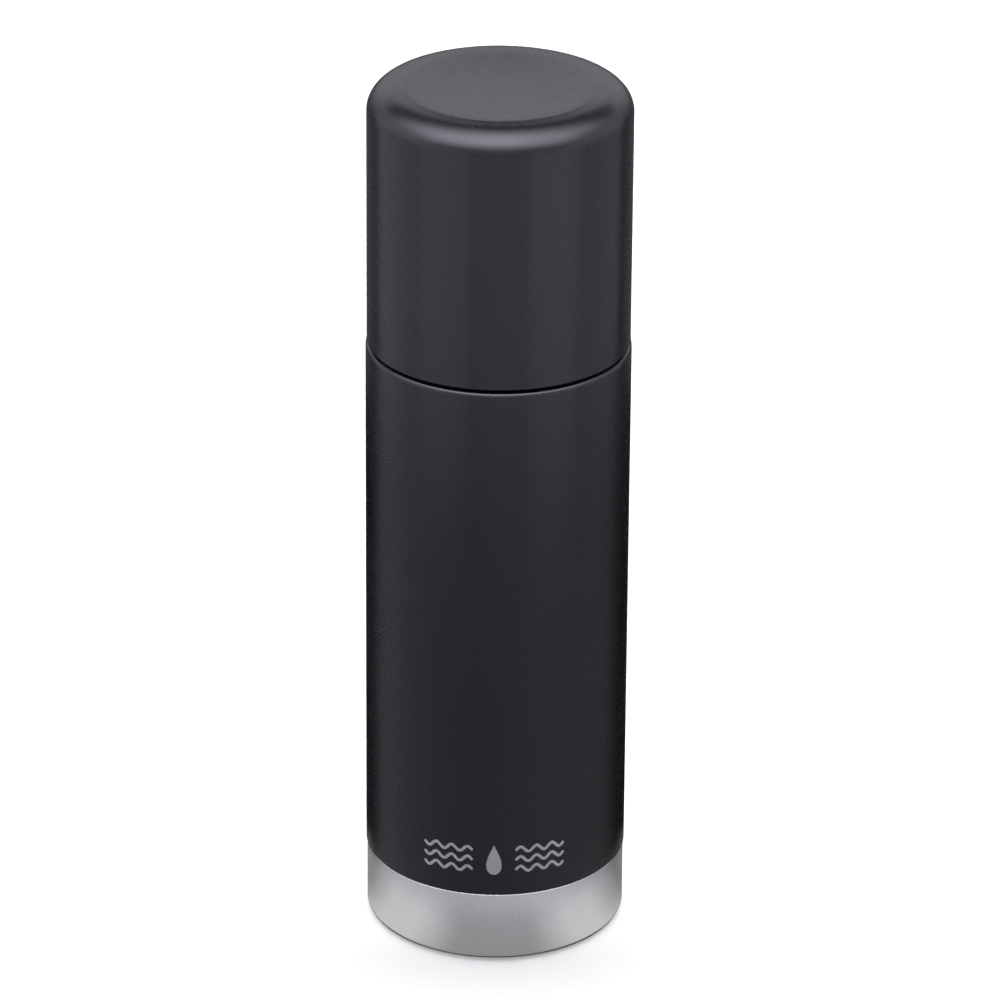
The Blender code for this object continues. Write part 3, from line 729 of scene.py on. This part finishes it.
def make_cup_lining():
    """Steel liner, threaded collar and the ring that the cup stands on."""
    wall = STEEL_WALL
    bore = CUP_R - wall
    liner_r = 33.6 * MM
    floor_top = top("cup_liner")
    floor_low = floor_top - wall
    edge_low = bottom("cup_liner")
    edge_r = bore - TOUCH
    turned("cup_liner", "cup", "inner_steel", [
        (0.0, floor_top, 0.0),
        (liner_r, floor_top, 5.0 * MM),
        (liner_r, CUP_EDGE + 3.2 * MM, 1.0 * MM),
        (edge_r, CUP_EDGE + 1.4 * MM, 0.6 * MM),
        (edge_r, edge_low, 0.15 * MM),
        (edge_r - wall, edge_low, 0.15 * MM),
        (edge_r - wall, CUP_EDGE + 1.2 * MM, 0.6 * MM),
        (liner_r - wall, CUP_EDGE + 2.9 * MM, 1.0 * MM),
        (liner_r - wall, floor_low, 5.0 * MM - wall),
        (0.0, floor_low, 0.0),
    ])

    low, high, outer = extent("cup_collar")
    root = 29.5 * MM
    collar = rounded([
        (root, high, 0.7 * MM),
        (outer, high, 0.45 * MM),
        (outer, low, 0.45 * MM),
        (root, low, 0.4 * MM),
    ])
    collar = refined(collar, low, high, THREAD_STEP, root)
    obj = lathe("cup_collar", collar, "cup", "black_plastic")
    ridge_z = CUP_RIDGE_Z - 0.5 * CUP_LEAD / STARTS
    press_thread(obj, root, False, ridge_z, CUP_RIDGE_TURNS, CUP_LEAD)

    low, high, outer = extent("cup_seal")
    inner = 30.4 * MM
    turned("cup_seal", "cup_ring", "dark_silicone", [
        (outer, low + TOUCH, 0.12 * MM),
        (outer, low, 0.1 * MM),
        (inner, low, 0.2 * MM),
        (inner, high, 0.2 * MM),
        (outer - 0.6 * MM, high, 0.15 * MM),
    ])


def make_inner_vessel():
    wall = STEEL_WALL
    neck_out = NECK_BORE + NECK_WALL
    bore = VESSEL_R - wall
    lip_under = LIP_TOP - 1.0 * MM
    shoulder = 9.0 * MM
    shoulder_z = 158.5 * MM
    tube_end = VESSEL_FLOOR + 6.0 * MM
    upper = rounded([
        (SEAT_R, SEAT_TOP - 3.0 * MM, 0.0),
        (SEAT_R, SEAT_TOP, 0.35 * MM),
        (NECK_BORE, SEAT_TOP, 0.35 * MM),
        (NECK_BORE, LIP_TOP, 0.48 * MM),
        (NECK_R, LIP_TOP, 0.46 * MM),
        (NECK_R, lip_under, 0.46 * MM),
        (neck_out, lip_under, 0.5 * MM),
        (neck_out, SEAT_TOP + 0.6 * MM, 1.0 * MM),
        (SEAT_R + NECK_WALL, SEAT_TOP - 0.9 * MM, 0.6 * MM),
        (SEAT_R + NECK_WALL, SEAT_TOP - 2.2 * MM, 0.0),
    ], closed=False)
    upper = refined(upper, SEAT_TOP + 0.6 * MM, LIP_TOP - 0.8 * MM, THREAD_STEP, NECK_BORE)
    centre = VESSEL_R - shoulder
    outside = arc(centre, shoulder_z, shoulder, shoulder, 78, 0, 14)
    inside = arc(centre, shoulder_z, shoulder - wall, shoulder - wall, 0, 74, 14)
    outline = upper + outside + [(VESSEL_R, tube_end), (bore, tube_end)] + inside
    obj = lathe("inner_vessel", outline, "flask", "inner_steel")
    press_thread(obj, NECK_BORE, False, STOPPER_RIDGE_Z, STOPPER_RIDGE_TURNS, STOPPER_LEAD)

    skirt = bore - TOUCH
    floor = VESSEL_FLOOR
    turned("inner_base", "flask", "inner_steel", [
        (0.0, floor + 1.6 * MM, 0.0),
        (16.0 * MM, floor + 1.1 * MM, 30.0 * MM),
        (skirt - 5.0 * MM, floor, 3.0 * MM),
        (skirt - 1.8 * MM, floor + 1.2 * MM, 2.0 * MM),
        (skirt - wall, floor + 4.0 * MM, 3.0 * MM),
        (skirt - wall, floor + 9.0 * MM, 0.1 * MM),
        (skirt, floor + 9.0 * MM, 0.1 * MM),
        (skirt, floor + 3.8 * MM, 3.0 * MM),
        (skirt - 1.4 * MM, floor + 0.6 * MM, 2.0 * MM),
        (skirt - 4.8 * MM, floor - wall, 3.0 * MM),
        (16.0 * MM, floor + 0.5 * MM, 30.0 * MM),
        (0.0, floor + 1.0 * MM, 0.0),
    ])


def make_vacuum_parts():
    """Foil round the inner vessel, getter under it, and the bead that seals the port."""
    low, high, outer = extent("radiation_foil")
    inner = VESSEL_R + TOUCH
    coarse = 190.0             # creases per metre, as is the next
    fine = 520.0
    depth = 0.12 * MM
    outline = []
    rows = 90
    for i in range(rows + 1):
        outline.append((outer, high + (low - high) * i / rows))
    for i in range(rows + 1):
        outline.append((inner, low + (high - low) * i / rows))
    foil = lathe("radiation_foil", outline, "flask", "foil")
    for vertex in foil.data.vertices:
        x, y, z = vertex.co
        wave = noise.noise(vertex.co * coarse) + 0.5 * noise.noise(vertex.co * fine)
        grow = 1.0 + depth * (wave + 1.2) / outer
        vertex.co.x = x * grow
        vertex.co.y = y * grow
    foil.data.update()

    floor, clip_top, far = extent("getter_clip")
    getter_x = 0.5 * (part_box("getter_clip")[0].x + far)
    clip_r = far - getter_x
    turned("getter_clip", "flask", "inner_steel", [
        (0.0, floor + 0.4 * MM, 0.0),
        (clip_r - 0.4 * MM, floor + 0.4 * MM, 0.3 * MM),
        (clip_r - 0.4 * MM, clip_top, 0.1 * MM),
        (clip_r, clip_top, 0.1 * MM),
        (clip_r, floor, 0.6 * MM),
        (0.0, floor, 0.0),
    ], segments=SMALL_SEGMENTS, shift_x=getter_x)
    low, high, far = extent("getter_pellet")
    pellet_r = far - getter_x
    turned("getter_pellet", "flask", "getter", [
        (0.0, high, 0.0),
        (pellet_r, high, 0.3 * MM),
        (pellet_r, low, 0.2 * MM),
        (0.0, low, 0.0),
    ], segments=SMALL_SEGMENTS, shift_x=getter_x)

    low, high, bead_r = extent("vacuum_seal_bead")
    bead = [(0.0, high), (bead_r - 0.3 * MM, high)]
    bead += arc(0.0, high - 0.15 * MM, bead_r, high - low - 0.15 * MM, 0, -90, 12)
    seal = lathe("vacuum_seal_bead", bead, "flask", "solder", closed=False, segments=SMALL_SEGMENTS)
    crumple(seal, 900.0, 0.06 * MM)


# --- stopper ------------------------------------------------------------------
def make_stopper():
    gland_outer = 6.4 * MM
    gland_inner = gland_outer - 1.4 * MM
    gland_low = DECK_Z - 3.0 * MM
    stem_hole = STEM_R + 0.5 * MM
    bore_step = PLUG_BORE - 1.4 * MM
    small = 0.2 * MM
    plug = rounded([
        (DECK_R, DECK_TOP, small),
        (DECK_R, DECK_Z, small),
        (PLUG_R, DECK_Z, 0.4 * MM),
        (PLUG_R, SHOULDER_Z, 0.3 * MM),
        (NOSE_R, SHOULDER_Z, 0.15 * MM),
        (NOSE_R, NOSE_Z, 0.5 * MM),
        (NOSE_BORE, NOSE_Z, 0.3 * MM),
        (NOSE_BORE, NOSE_Z + 1.4 * MM, 0.3 * MM),
        (bore_step, NOSE_Z + 2.0 * MM, 0.6 * MM),
        (bore_step, SHOULDER_Z + 1.6 * MM, small),
        (PLUG_BORE, SHOULDER_Z + 1.6 * MM, small),
        (PLUG_BORE, DECK_Z, 0.8 * MM),
        (gland_outer, DECK_Z, 0.6 * MM),
        (gland_outer, gland_low, small),
        (gland_inner, gland_low, small),
        (gland_inner, DECK_Z, small),
        (stem_hole, DECK_Z, small),
        (stem_hole, DECK_TOP, small),
    ])
    plug = refined(plug, SHOULDER_Z, DECK_Z, THREAD_STEP, PLUG_R)
    body = lathe("stopper_body", plug, "stopper", "grey_plastic")
    ridge_z = STOPPER_RIDGE_Z - 0.5 * STOPPER_LEAD / STARTS
    press_thread(body, PLUG_R, True, ridge_z, STOPPER_RIDGE_TURNS, STOPPER_LEAD)
    half = 7.0 * MM
    low_z = 191.4 * MM
    high_z = DECK_Z - 0.4 * MM
    windows = []
    reach = (15.0 * MM, 24.0 * MM)
    for side in (1.0, -1.0):
        near, far = sorted((side * reach[0], side * reach[1]))
        windows.append(rounded_box((near, -half, low_z), (far, half, high_z), 0, 1.0 * MM))
    combine(body, "DIFFERENCE", windows)

    hole = BUTTON_R + 0.4 * MM
    low = bottom("stopper_cap")
    skirt = DECK_R + TOUCH
    under = CAP_TOP - 1.6 * MM
    root = skirt + 0.4 * MM
    cap = rounded([
        (hole, CAP_TOP, 0.35 * MM),
        (CAP_R, CAP_TOP, 1.7 * MM),
        (CAP_R, low, 0.35 * MM),
        (skirt, low, 0.15 * MM),
        (skirt, under, 1.2 * MM),
        (hole, under, 0.2 * MM),
    ])
    cap = refined(cap, low, CAP_TOP, 0.6 * MM, CAP_R)
    grip = lathe("stopper_cap", cap, "stopper", "black_plastic", segments=360)
    for vertex in grip.data.vertices:
        reach = math.hypot(vertex.co.x, vertex.co.y)
        share = (reach - root) / (CAP_R - root)
        if share <= 0.0:
            continue
        angle = math.atan2(vertex.co.y, vertex.co.x)
        wave = 0.5 - 0.5 * math.cos(CAP_FLUTES * angle)
        push_out(vertex, -FLUTE_DEPTH * share * wave**1.5)
    grip.data.update()

    low, high, gasket_r = extent("stopper_seal")
    inner = NOSE_R + TOUCH
    turned("stopper_seal", "stopper_gasket", "silicone", [
        (gasket_r, high, 0.35 * MM),
        (gasket_r, low + 1.4 * MM, 0.2 * MM),
        (gasket_r - 0.35 * MM, low + 1.05 * MM, 0.2 * MM),
        (gasket_r, low + 0.7 * MM, 0.2 * MM),
        (gasket_r, low, 0.35 * MM),
        (inner, low, 0.2 * MM),
        (inner, high, 0.2 * MM),
    ])

    make_guide()
    low, high, wiper_r = extent("stem_seal")
    inner = STEM_R + TOUCH
    turned("stem_seal", "stopper", "silicone", [
        (wiper_r, high, 0.2 * MM),
        (wiper_r, low, 0.2 * MM),
        (inner, low, 0.15 * MM),
        (inner, low + 0.6 * MM, 0.15 * MM),
        (inner + 0.3 * MM, low + 1.2 * MM, 0.2 * MM),
        (inner, high - 0.6 * MM, 0.15 * MM),
        (inner, high, 0.15 * MM),
    ], segments=SMALL_SEGMENTS)


def make_guide():
    """Ring and hub joined by four spokes; the stem slides in the hub."""
    low = bottom("stem_guide")
    outer = radius("stem_guide")
    ring = rounded([
        (outer, low + 2.4 * MM, 0.2 * MM),
        (outer, low, 0.2 * MM),
        (PLUG_BORE - 1.9 * MM, low, 0.3 * MM),
        (PLUG_BORE - 1.9 * MM, low + 2.4 * MM, 0.3 * MM),
    ])
    guide = lathe("stem_guide", ring, "stopper", "grey_plastic")
    hub_height = 5.0 * MM
    middle = low + 0.5 * hub_height
    hub = cone(4.4 * MM, 4.0 * MM, hub_height, middle)
    spokes = []
    half = 0.8 * MM
    reach = PLUG_BORE - 1.2 * MM
    for along in (0, 1):
        near = [-half, -half, low + 0.3 * MM]
        far = [half, half, low + 2.0 * MM]
        near[along] = -reach
        far[along] = reach
        spokes.append(rounded_box(near, far, along, 0.25 * MM))
    combine(guide, "UNION", spokes + [hub])
    hole_r = STEM_R + TOUCH
    combine(guide, "DIFFERENCE", [cone(hole_r, hole_r, 2.4 * hub_height, middle)])


def make_valve():
    """Push button, stem, valve plate and its seal."""
    roof = BUTTON_TOP - 1.6 * MM
    flange_top = CAP_TOP - 2.1 * MM
    flange_low = bottom("push_button")
    flange_r = radius("push_button")
    inner = BUTTON_R - 1.6 * MM
    socket = STEM_R + 1.5 * MM
    hole = STEM_R + TOUCH
    dish_edge = (BUTTON_R - 1.6 * MM, BUTTON_TOP - 0.1 * MM)
    dish = hermite((0.0, BUTTON_TOP - 0.75 * MM), 0.0, dish_edge, 0.16, 14)
    button = dish[:-1] + rounded([
        (BUTTON_R - 1.6 * MM, BUTTON_TOP - 0.1 * MM, 0.0),
        (BUTTON_R - 1.0 * MM, BUTTON_TOP, 0.3 * MM),
        (BUTTON_R, BUTTON_TOP - 0.5 * MM, 0.6 * MM),
        (BUTTON_R, flange_top, 0.2 * MM),
        (flange_r, flange_top, 0.15 * MM),
        (flange_r, flange_low, 0.15 * MM),
        (inner, flange_low, 0.2 * MM),
        (inner, roof, 0.4 * MM),
        (socket, roof, 0.3 * MM),
        (socket, roof - 2.0 * MM, 0.15 * MM),
        (hole, roof - 2.0 * MM, 0.15 * MM),
        (hole, roof, 0.0),
        (0.0, roof, 0.0),
    ], closed=False)
    lathe("push_button", button, "valve", "black_plastic", closed=False, segments=SMALL_SEGMENTS)

    high = top("valve_stem")
    low = bottom("valve_stem")
    turned("valve_stem", "valve", "grey_plastic", [
        (0.0, high, 0.0),
        (STEM_R, high, 0.3 * MM),
        (STEM_R, low, 0.3 * MM),
        (0.0, low, 0.0),
    ], segments=SMALL_SEGMENTS)

    plate_low, boss_top, plate_r = extent("valve_plate")
    plate_top = plate_low + 2.4 * MM
    boss = 6.0 * MM
    turned("valve_plate", "valve", "grey_plastic", [
        (0.0, low - TOUCH, 0.0),
        (hole, low - TOUCH, 0.0),
        (hole, boss_top, 0.2 * MM),
        (boss, boss_top, 0.4 * MM),
        (boss, plate_top, 0.5 * MM),
        (plate_r, plate_top, 0.2 * MM),
        (plate_r, plate_top - 1.0 * MM, 0.5 * MM),
        (plate_r - 1.4 * MM, plate_low, 0.8 * MM),
        (boss + 1.0 * MM, plate_low, 0.3 * MM),
        (boss, plate_low + 0.4 * MM, 0.3 * MM),
        (0.0, plate_low + 0.4 * MM, 0.0),
    ])

    seal_top = top("valve_seal")
    seal_low = plate_top + TOUCH
    seal_r = radius("valve_seal")
    turned("valve_seal", "valve", "silicone", [
        (seal_r - 1.4 * MM, seal_top, 0.5 * MM),
        (seal_r, seal_top - 0.6 * MM, 0.4 * MM),
        (seal_r, seal_low + 0.2 * MM, 0.3 * MM),
        (NOSE_BORE - 1.0 * MM, seal_low + 0.1 * MM, 0.3 * MM),
        (NOSE_BORE - 1.0 * MM, seal_top, 0.3 * MM),
    ])


def make_spring():
    """Compression spring with closed end coils."""
    wire = 0.45 * MM
    coil_r = 6.6 * MM
    low = bottom("button_spring") + wire
    high = top("button_spring") - wire
    coils = 4.5
    closed_coils = 0.6
    steps = int(coils * 40)
    sides = 12
    bm = bmesh.new()
    rings = []
    pitch_share = 2.1 * wire / (high - low)
    for i in range(steps + 1):
        turn = coils * i / steps
        ramped = min(max((turn - closed_coils) / (coils - 2.0 * closed_coils), 0.0), 1.0)
        eased = pitch_share * turn / coils + (1.0 - pitch_share) * ramped
        z = low + (high - low) * eased
        angle = math.tau * turn
        ring = []
        for j in range(sides):
            around = math.tau * j / sides
            reach = coil_r + wire * math.cos(around)
            height = z + wire * math.sin(around)
            ring.append(bm.verts.new((reach * math.cos(angle), reach * math.sin(angle), height)))
        rings.append(ring)
    for near, far in zip(rings, rings[1:]):
        for j in range(sides):
            k = (j + 1) % sides
            bm.faces.new((near[j], near[k], far[k], far[j]))
    bm.faces.new(rings[0])
    bm.faces.new(list(reversed(rings[-1])))
    bmesh.ops.recalc_face_normals(bm, faces=bm.faces)
    mesh = to_mesh(bm, "button_spring_fine")
    shade(mesh)
    spring = piece("button_spring_fine", mesh, "stopper", "button_spring", "bare_steel")
    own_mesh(spring)


def stroke_outline(points, half_width):
    """Outline, in (along, up), of a line drawn through the points with round ends."""
    steps = 8
    count = len(points)
    sides = []
    for i, (s, z) in enumerate(points):
        before = Vector(points[max(i - 1, 0)])
        after = Vector(points[min(i + 1, count - 1)])
        run = (after - before).normalized()
        sides.append((Vector((s, z)), Vector((-run.y, run.x))))
    outline = [tuple(spot + across * half_width) for spot, across in sides]
    for spot, across in (sides[-1], sides[0]):
        start = math.atan2(across.y, across.x)
        if spot == sides[0][0]:
            start += math.pi
        for k in range(1, steps):
            angle = start - math.pi * k / steps
            outline.append((spot.x + half_width * math.cos(angle), spot.y + half_width * math.sin(angle)))
        if spot == sides[-1][0]:
            outline += [tuple(place - side * half_width) for place, side in reversed(sides)]
    return outline


def on_wall(bm, along, height, lift):
    """A point at a distance along the body's wall from its front line, lifted off the wall."""
    angle = along / BODY_R - 0.5 * math.pi
    r = BODY_R + lift
    return bm.verts.new((r * math.cos(angle), r * math.sin(angle), height))


def add_patch(bm, outline, thickness):
    """A closed patch that follows the wall; the outline is (distance along the wall, height)."""
    outer, inner = [[on_wall(bm, s, z, lift) for s, z in outline] for lift in (thickness, -thickness)]
    count = len(outline)
    for i in range(count):
        k = (i + 1) % count
        bm.faces.new((outer[i], outer[k], inner[k], inner[i]))
    for ring in (outer, list(reversed(inner))):
        edges = []
        for i in range(count):
            edges.append(bm.edges.get((ring[i], ring[(i + 1) % count])))
        bmesh.ops.triangle_fill(bm, edges=edges, use_beauty=True)


def add_blade(bm, rows, thickness):
    """A closed patch that follows the wall, from rows of (half width, height)."""
    columns = 10
    layers = []
    for lift in (thickness, -thickness):
        grid = []
        for half, z in rows:
            grid.append([on_wall(bm, half * (2.0 * k / columns - 1.0), z, lift) for k in range(columns + 1)])
        layers.append(grid)
    outer, inner = layers
    for grid in layers:
        for upper, lower in zip(grid, grid[1:]):
            for k in range(columns):
                bm.faces.new((upper[k], upper[k + 1], lower[k + 1], lower[k]))
    border = [(i, 0) for i in range(len(rows))]
    border += [(len(rows) - 1, k) for k in range(1, columns + 1)]
    border += [(i, columns) for i in range(len(rows) - 2, -1, -1)]
    border += [(0, k) for k in range(columns - 1, 0, -1)]
    for (i, j), (k, m) in zip(border, border[1:] + border[:1]):
        bm.faces.new((outer[i][j], outer[k][m], inner[k][m], inner[i][j]))


def make_mark():
    """A plain etched ornament: a drop between two groups of waves."""
    middle = 31.6 * MM
    line_half = 0.42 * MM
    wave_start = 6.2 * MM
    wave_length = 13.6 * MM
    wave_height = 0.8 * MM
    wave_gap = 3.0 * MM
    waves = 3
    drop_width = 2.9 * MM
    drop_height = 4.6 * MM
    thickness = 0.02 * MM
    bm = bmesh.new()
    steps = 36
    for side in (-1.0, 1.0):
        for row in (-1, 0, 1):
            points = []
            for i in range(steps + 1):
                share = i / steps
                wave = wave_height * math.sin(waves * math.tau * share)
                points.append((side * (wave_start + wave_length * share), middle + row * wave_gap + wave))
            add_patch(bm, stroke_outline(points, line_half), thickness)
    rows = []
    steps = 32
    for i in range(1, steps):
        angle = math.pi * i / steps
        width = drop_width * math.sin(angle) * math.sin(0.5 * angle) ** 1.3
        rows.append((width, middle + drop_height * math.cos(angle)))
    add_blade(bm, rows, thickness)
    bmesh.ops.recalc_face_normals(bm, faces=bm.faces)
    piece("etched_mark", to_mesh(bm, "etched_mark"), "flask", None, "etched_mark")


make_outer_shell()
make_mark()
make_base()
make_inner_vessel()
make_vacuum_parts()
make_stopper()
make_valve()
make_spring()
make_cup()
make_cup_lining()

# --- stage, lights, camera ----------------------------------------------------
FOCAL_SHARE = 6.6469875    # focal length over image width
CAMERA_DISTANCE = 45.6472  # in body radii, as are the next two
CAMERA_HEIGHT = 24.9174
CAMERA_SIDE = 0.3203
PITCH = 0.4398
YAW = -0.0066
ROLL = 0.0074


def make_camera():
    data = bpy.data.cameras.new("camera")
    data.sensor_width = 36.0
    data.lens = FOCAL_SHARE * data.sensor_width
    data.clip_start = 0.01
    data.clip_end = 50.0
    camera = placed("camera", data)
    forward = Vector((math.sin(YAW) * math.cos(PITCH), math.cos(YAW) * math.cos(PITCH), -math.sin(PITCH)))
    right = Vector((math.cos(YAW), -math.sin(YAW), 0.0))
    up = right.cross(forward)
    c, s = math.cos(ROLL), math.sin(ROLL)
    right, up = c * right + s * up, -s * right + c * up
    turn = Matrix((right, up, -forward)).transposed().to_4x4()
    place = Vector((CAMERA_SIDE, -CAMERA_DISTANCE, CAMERA_HEIGHT)) * BODY_R
    camera.matrix_world = Matrix.Translation(place) @ turn
    bpy.context.scene.camera = camera


def make_floor():
    bm = bmesh.new()
    bmesh.ops.create_circle(bm, cap_ends=True, radius=6.0, segments=96)
    mesh = to_mesh(bm, "floor")
    floor = placed("floor", mesh)
    n = Nodes("floor")
    n.set(Roughness=0.9, Specular_IOR_Level=0.0)
    cloud = n.noise(3.0, 2.0)
    n.link(n.mix(cloud, (0.50, 0.50, 0.50), (0.52, 0.52, 0.52)), n.shader.inputs["Base Color"])
    # a lit table: its glow keeps the contact shadow from going black
    n.set(Emission_Color=(1.0, 1.0, 1.0, 1.0), Emission_Strength=0.25)
    n.material.cycles.emission_sampling = "NONE"
    mesh.materials.append(n.material)
    # a light tent: the floor shows and takes shadows, but the tent below it lights the object
    floor.visible_glossy = False
    floor.visible_shadow = False
    floor.visible_diffuse = False


def make_card():
    """A flat ring round the foot that shows only in reflections."""
    bm = bmesh.new()
    near = []
    far = []
    for i in range(SMALL_SEGMENTS):
        angle = math.tau * i / SMALL_SEGMENTS
        x, y = math.cos(angle), math.sin(angle)
        near.append(bm.verts.new((BODY_R * x, BODY_R * y, 0.5 * MM)))
        far.append(bm.verts.new((CARD_OUTER * x, CARD_OUTER * y, 0.5 * MM)))
    for i in range(SMALL_SEGMENTS):
        k = (i + 1) % SMALL_SEGMENTS
        bm.faces.new((near[i], far[i], far[k], near[k]))
    mesh = to_mesh(bm, "card")
    card = placed("card", mesh)
    n = Nodes("card")
    split = n.add("ShaderNodeSeparateXYZ")
    n.link(n.place, split.inputs["Vector"])
    n.set(Base_Color=(0.0, 0.0, 0.0, 1.0), Specular_IOR_Level=0.0, Emission_Strength=1.0)
    n.link(n.ramp(n.azimuth(split), CARD_AROUND), n.shader.inputs["Emission Color"])
    n.material.cycles.emission_sampling = "NONE"
    mesh.materials.append(n.material)
    card.visible_camera = False
    card.visible_diffuse = False
    card.visible_shadow = False
    card.visible_transmission = False


def area_light(name, place, target, size_x, size_y, power):
    data = bpy.data.lights.new(name, "AREA")
    data.shape = "RECTANGLE"
    data.size = size_x
    data.size_y = size_y
    data.energy = power
    light = placed(name, data)
    light.location = place
    aim = Vector(target) - Vector(place)
    light.rotation_euler = aim.to_track_quat("-Z", "Y").to_euler()
    light.visible_camera = False
    return light


# the light tent as the glossy surfaces see it: (azimuth in degrees, brightness), with 0 towards the
# camera's side and 90 towards +X
TENT_AROUND = [
    (-180, 0.0), (-135, 0.0), (-115, 0.4), (-90, 0.5), (-20, 0.55), (40, 0.65), (90, 0.4),
    (115, 0.2), (130, 0.0), (180, 0.0),
]
TENT_UP = [(-90, 0.5), (-60, 0.9), (-10, 1.0), (10, 0.3), (90, 0.0)]
# tall softboxes on both sides, above the horizon
SIDES_AROUND = [
    (-180, 0.0), (-140, 0.0), (-110, 1.0), (-70, 1.0), (-45, 0.0), (45, 0.0), (70, 0.9),
    (110, 0.9), (140, 0.0), (180, 0.0),
]
SIDES_UP = [(-90, 0.0), (-10, 0.0), (15, 1.0), (55, 1.0), (75, 0.0), (90, 0.0)]
SIDES_LEVEL = 1.1
# the bright wall behind, and how high it reaches
WALL_AROUND = [(-180, 1.0), (-155, 1.0), (-115, 0.0), (115, 0.0), (155, 1.0), (180, 1.0)]
WALL_UP = [(-90, 0.0), (-5, 0.0), (15, 0.7), (27, 1.1), (31, 0.0), (90, 0.0)]
WALL_LEVEL = 1.2
# the window above the camera: brightness over the arc from the horizon behind (0) to the one
# in front (180), and from side to side
LAMP_OVER = [(-180, 0.0), (45, 0.0), (60, 0.2), (95, 1.0), (120, 1.1), (150, 0.2), (180, 0.0)]
LAMP_ACROSS = [(-90, 0.0), (-60, 0.1), (-30, 0.75), (0, 1.0), (35, 0.55), (60, 0.05), (90, 0.0)]
LAMP_LEVEL = 7.7
# the bounce card round the foot, for the steel band above it: a bright panel on each side
CARD_AROUND = [
    (-180, 0.25), (-100, 0.3), (-70, 0.75), (-45, 0.75), (-20, 0.35), (20, 0.35), (45, 0.75),
    (65, 0.75), (100, 0.25), (180, 0.25),
]
CARD_OUTER = 63.0 * MM
# light that the matt part of every surface receives, from the camera's side and from behind
FILL_FRONT = 0.1
FILL_BACK = 4.4
FILL_EDGE = 0.2            # half the width of the blend between the two, as a Y of the direction
TENT_COLOUR = (0.955, 0.965, 1.035)


def make_world():
    """White to the camera, a plain fill to matt surfaces, and the tent to glossy reflections."""
    world = bpy.data.worlds.new("studio")
    bpy.context.scene.world = world
    world.use_nodes = True
    world.cycles.sampling_method = "NONE"
    n = Tree(world.node_tree)
    split = n.add("ShaderNodeSeparateXYZ")
    n.link(n.add("ShaderNodeTexCoord").outputs["Generated"], split.inputs["Vector"])
    around = n.azimuth(split)
    up = n.math("ARCSINE", split.outputs["Z"])
    over = n.math("ARCTAN2", split.outputs["Z"], split.outputs["Y"])
    across = n.math("ARCSINE", split.outputs["X"])
    total = n.math("MULTIPLY", n.ramp(around, TENT_AROUND), n.ramp(up, TENT_UP))
    for first, first_stops, second, second_stops, level in (
        (around, SIDES_AROUND, up, SIDES_UP, SIDES_LEVEL),
        (around, WALL_AROUND, up, WALL_UP, WALL_LEVEL),
        (over, LAMP_OVER, across, LAMP_ACROSS, LAMP_LEVEL),
    ):
        glow = n.math("MULTIPLY", n.ramp(first, first_stops), n.ramp(second, second_stops))
        total = n.math("ADD", total, n.math("MULTIPLY", glow, level))
    studio = n.tree.nodes["Background"]
    studio.inputs["Color"].default_value = (*TENT_COLOUR, 1.0)
    n.link(total, studio.inputs["Strength"])

    ray = n.add("ShaderNodeLightPath")
    shader = studio.outputs["Background"]
    fill = n.range(split.outputs["Y"], FILL_FRONT, FILL_BACK, -FILL_EDGE, FILL_EDGE)
    for kind, strength in (("Is Diffuse Ray", fill), ("Is Camera Ray", None)):
        plain = n.add("ShaderNodeBackground", {"Color": (1.0, 1.0, 1.0, 1.0)})
        if strength:
            n.link(strength, plain.inputs["Strength"])
        choose = n.add("ShaderNodeMixShader")
        n.link(ray.outputs[kind], choose.inputs["Fac"])
        n.link(shader, choose.inputs[1])
        n.link(plain.outputs["Background"], choose.inputs[2])
        shader = choose.outputs["Shader"]
    n.link(shader, n.tree.nodes["World Output"].inputs["Surface"])


# wide lights above, facing down: (name, x, y, height, width, depth, power)
OVERHEAD = [
    ("overhead", 0.0, -0.18, 1.20, 1.30, 1.48, 0.4),
    ("key", -0.26, -0.45, 1.19, 0.68, 0.45, 0.25),
]
# tall strips that stand on the table round the object: (azimuth, width, power)
STRIPS = [
    (-150, 0.25, 0.03), (-95, 0.40, 0.13), (-45, 0.30, 0.23), (0, 0.28, 0.14), (45, 0.30, 0.23),
    (95, 0.40, 0.13), (150, 0.25, 0.03),
]
STRIP_HEIGHT = 0.32
STRIP_DISTANCE = 0.37
STRIP_COLOUR = (0.94, 0.94, 1.07)


def make_lights():
    """The lights above, which reflections don't show, and the strips, which they do."""
    for name, x, y, height, width, depth, power in OVERHEAD:
        light = area_light(name, (x, y, height), (x, y, 0.0), width, depth, power)
        light.visible_glossy = False
    middle = 0.5 * STRIP_HEIGHT
    for azimuth, width, power in STRIPS:
        turn = math.radians(azimuth)
        place = (STRIP_DISTANCE * math.sin(turn), -STRIP_DISTANCE * math.cos(turn), middle)
        strip = area_light(f"strip_{azimuth}", place, (0.0, 0.0, middle), width, STRIP_HEIGHT, power)
        strip.data.color = STRIP_COLOUR
        strip.visible_diffuse = False


make_camera()
make_floor()
make_card()
make_world()
make_lights()
bpy.context.scene.view_settings.view_transform = "Standard"
